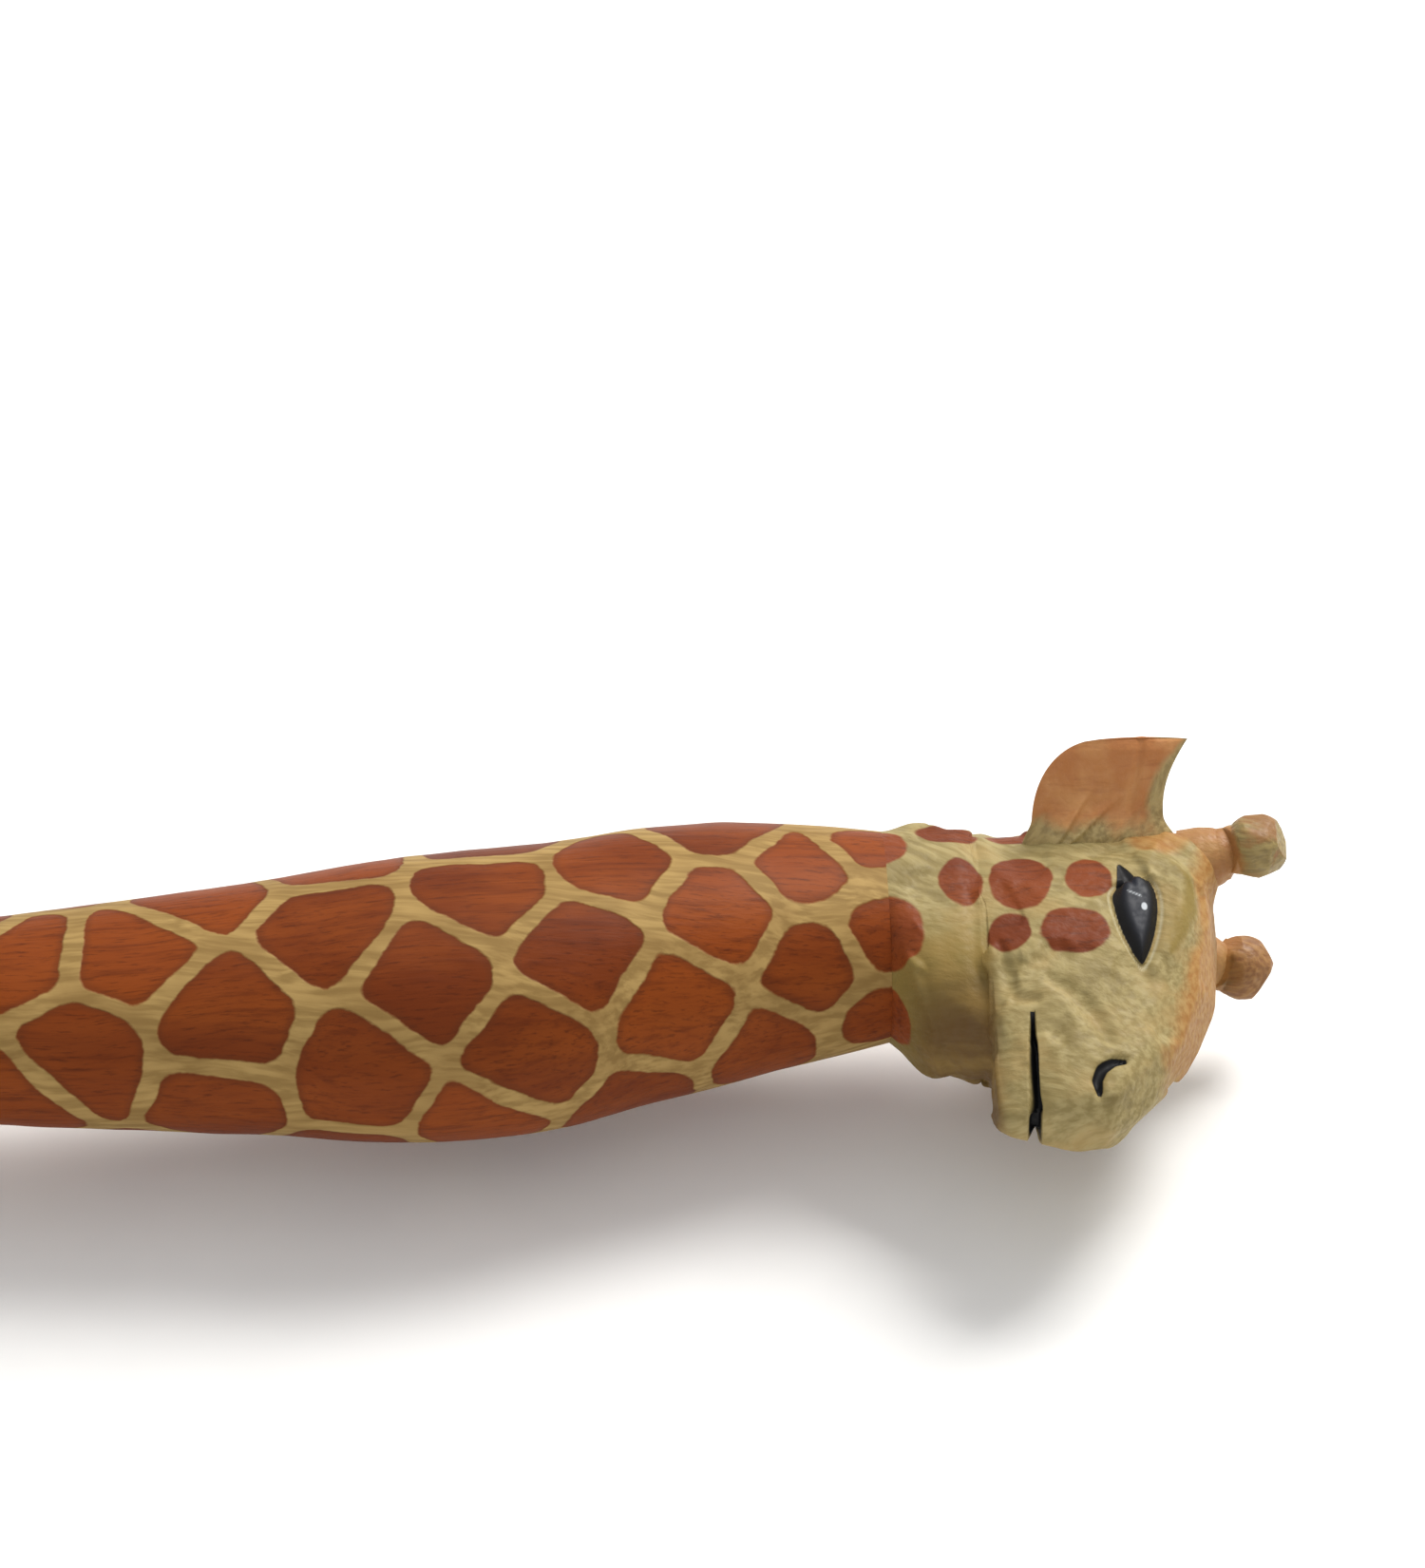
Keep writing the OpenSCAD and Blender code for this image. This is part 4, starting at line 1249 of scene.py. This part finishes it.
def build_gouge_tree():
    tree, sizes = begin_shape("gouge_row", ("Radius", "Length", "Pitch"), ("Count",))
    step = put(tree, "ShaderNodeCombineXYZ", Z=sizes["Pitch"]).outputs[0]
    line = put(tree, "GeometryNodeMeshLine", Count=sizes["Count"], Offset=step)
    rod = put(tree, "GeometryNodeMeshCylinder", Vertices=48, Radius=sizes["Radius"],
              Depth=sizes["Length"])
    row = put(tree, "GeometryNodeInstanceOnPoints", Points=line.outputs[0],
              Instance=rod.outputs["Mesh"])
    row.inputs["Rotation"].default_value = (math.pi / 2, 0, 0)
    return end_shape(tree, row.outputs[0], sizes["Material"])


def rake_piece():
    outline = rake_outline()
    sides = len(outline)
    layers = [-paddle_w / 2, paddle_w / 2]
    points = [(x, y, z) for z in layers for x, y in outline]
    piece = make_piece("rake", points, tube_faces(2, sides))
    soft = piece.modifiers.new("soft_edges", "BEVEL")
    soft.width, soft.segments, soft.limit_method = rake_edge * MM, 4, "ANGLE"
    soft.angle_limit, soft.use_clamp_overlap = math.radians(28), False
    apply_modifiers(piece)
    pitch = paddle_w / flutes
    cutters = grow("gouges", build_gouge_tree(), {
        "Radius": flute_r * MM, "Length": (face_y - lip_y) * MM, "Pitch": pitch * MM,
        "Count": flutes, "Material": stained})
    run_x, run_y = rake_root - lip_lean - lip_t, root_y - lip_y
    lean = math.atan2(run_x, run_y)
    start = place([[rake_low[0] + lip_lean + lip_t, lip_y, (pitch - paddle_w) / 2]])[0]
    push = Vector(((flute_r - flute_depth) * MM, 0, 0))
    cutters.data.transform(Matrix.Translation(Vector(start))
                           @ Matrix.Rotation(-lean, 4, "Z") @ Matrix.Translation(push))
    cut = piece.modifiers.new("gouges", "BOOLEAN")
    cut.object, cut.operation, cut.solver = cutters, "DIFFERENCE", "EXACT"
    cut.use_self = True
    apply_modifiers(piece)
    bpy.data.objects.remove(cutters)
    finish_piece(piece)
    piece.data.set_sharp_from_angle(angle=math.radians(40))
    return piece


rake = rake_piece()
rake.data.materials.clear()
rake.data.materials.append(stained)
print("rake", len(rake.data.polygons), "faces", [round(v, 4) for v in rake.dimensions])

# %% [markdown]
# ## Dowels and pins
# The dowels and pins are plain beech rods from the frame. They sit inside the joints and are
# never seen, but they get real wood too, pale and straight in the grain.

# %% Dowel wood
def dowel_wood():
    material, tree, shader = new_material("dowel_beech")
    grain = use_group(tree, grain_group, Fineness=1.4, Sway=0.1)
    colour = lay(tree, paint("c9a673"), (grain["Cloud"], 0.3, 0.7, 1, "dabb8a"),
                 (grain["Pores"], 0.56, 0.7, 0.7, "9c7444"))
    fill(shader.inputs["Base Color"], colour)
    fill(shader.inputs["Roughness"], edge(tree, grain["Streak"], 0.3, 0.7, 0.55, 0.7))
    raise_surface(tree, shader, grain["Streak"], 0.05)
    return material


beech = dowel_wood()
for name in ("shaft_dowel", "head_dowel", "rake_pins"):
    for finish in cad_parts[name].material_slots:
        finish.material = beech
print("dowels now in", beech.name)

# %% [markdown]
# ## Body and replaced nodes
# Nothing on this tool moves, so every piece rides on the one body. Each row also names the plain
# node that the piece stands for, which is hidden, and a finish of the record, which is not used.

# %% Hand the pieces over
for piece, node_name, slot_name in (
        (shaft, "shaft", "stained_wood"), (rake, "rake", "stained_wood"),
        (neck, "neck", "painted_hide"), (head, "head", "painted_head"),
        (right_ear, "right_ear", "painted_ear"), (left_ear, "left_ear", "painted_ear"),
        (right_horn, "right_horn", "painted_horn"), (left_horn, "left_horn", "painted_horn")):
    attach(piece, "root")
    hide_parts(node_name)
print("pieces handed over")

# %% [markdown]
# ## Floor, light and camera
# The tool lies on its left side on a plain pale floor. A large soft light above and behind the
# head gives the bright upper edge, a weaker one fills in from the front, and the pale world keeps
# the shadows open. The camera has a long lens, so the shape is hardly foreshortened.

# %% Floor
def pale_floor():
    material, tree, shader = new_material("pale_floor")
    coords = tree.nodes.new("ShaderNodeTexCoord").outputs["Object"]
    noise = put(tree, "ShaderNodeTexNoise", Vector=coords, Scale=40.0, Detail=3.0)
    fill(shader.inputs["Base Color"],
         lay(tree, paint("f4f4f3"), (noise.outputs[0], 0.3, 0.7, 1, "f7f7f6")))
    shader.inputs["Roughness"].default_value = 0.9
    return material


bpy.ops.mesh.primitive_plane_add(size=6, location=(0, 0, 0))
floor = bpy.context.object
floor.name = "studio_floor"
floor.data.materials.append(pale_floor())

# %% Lights
def soft_light(name, spot, target, size, power, colour):
    light = bpy.data.lights.new(name, "AREA")
    light.size, light.energy, light.color = size, power, colour
    lamp = bpy.data.objects.new(name, light)
    lamp.location = spot
    lamp.rotation_euler = (Vector(target) - Vector(spot)).to_track_quat("-Z", "Y").to_euler()
    bpy.context.scene.collection.objects.link(lamp)
    return lamp


handle_middle = Vector(place([[head_x - 25.5, 15.6, 0]])[0])
soft_light("key_light", handle_middle + Vector((0.38, 0.42, 0.66)), handle_middle, 0.45, 9.0,
           (1.0, 0.98, 0.95))
soft_light("fill_light", handle_middle + Vector((-0.3, -1.1, 0.9)), handle_middle, 1.2, 2.4,
           (1.0, 1.0, 1.0))
world = bpy.data.worlds.new("pale_room")
bpy.context.scene.world = world
world.use_nodes = True
background = world.node_tree.nodes["Background"].inputs
background["Color"].default_value = (1, 1, 1, 1)
background["Strength"].default_value = 0.62
print("lights set")

# %% Camera
view_turn, view_rise = math.radians(-3), math.radians(40)
view_width, view_distance = 210.0 * MM, 1.7
aim = Vector(place([[head_x - 25.5, 15.6, 27.8]])[0])
backwards = Vector((math.sin(view_turn) * math.cos(view_rise),
                    -math.cos(view_turn) * math.cos(view_rise), math.sin(view_rise)))
camera_data = bpy.data.cameras.new("studio_camera")
camera_data.sensor_fit = "HORIZONTAL"
camera_data.lens = camera_data.sensor_width * view_distance / view_width
camera = bpy.data.objects.new("studio_camera", camera_data)
camera.location = aim + backwards * view_distance
camera.rotation_euler = backwards.to_track_quat("Z", "Y").to_euler()
bpy.context.scene.collection.objects.link(camera)
bpy.context.scene.camera = camera
bpy.context.scene.view_settings.view_transform = "Standard"
print("camera lens", round(camera_data.lens), "mm")
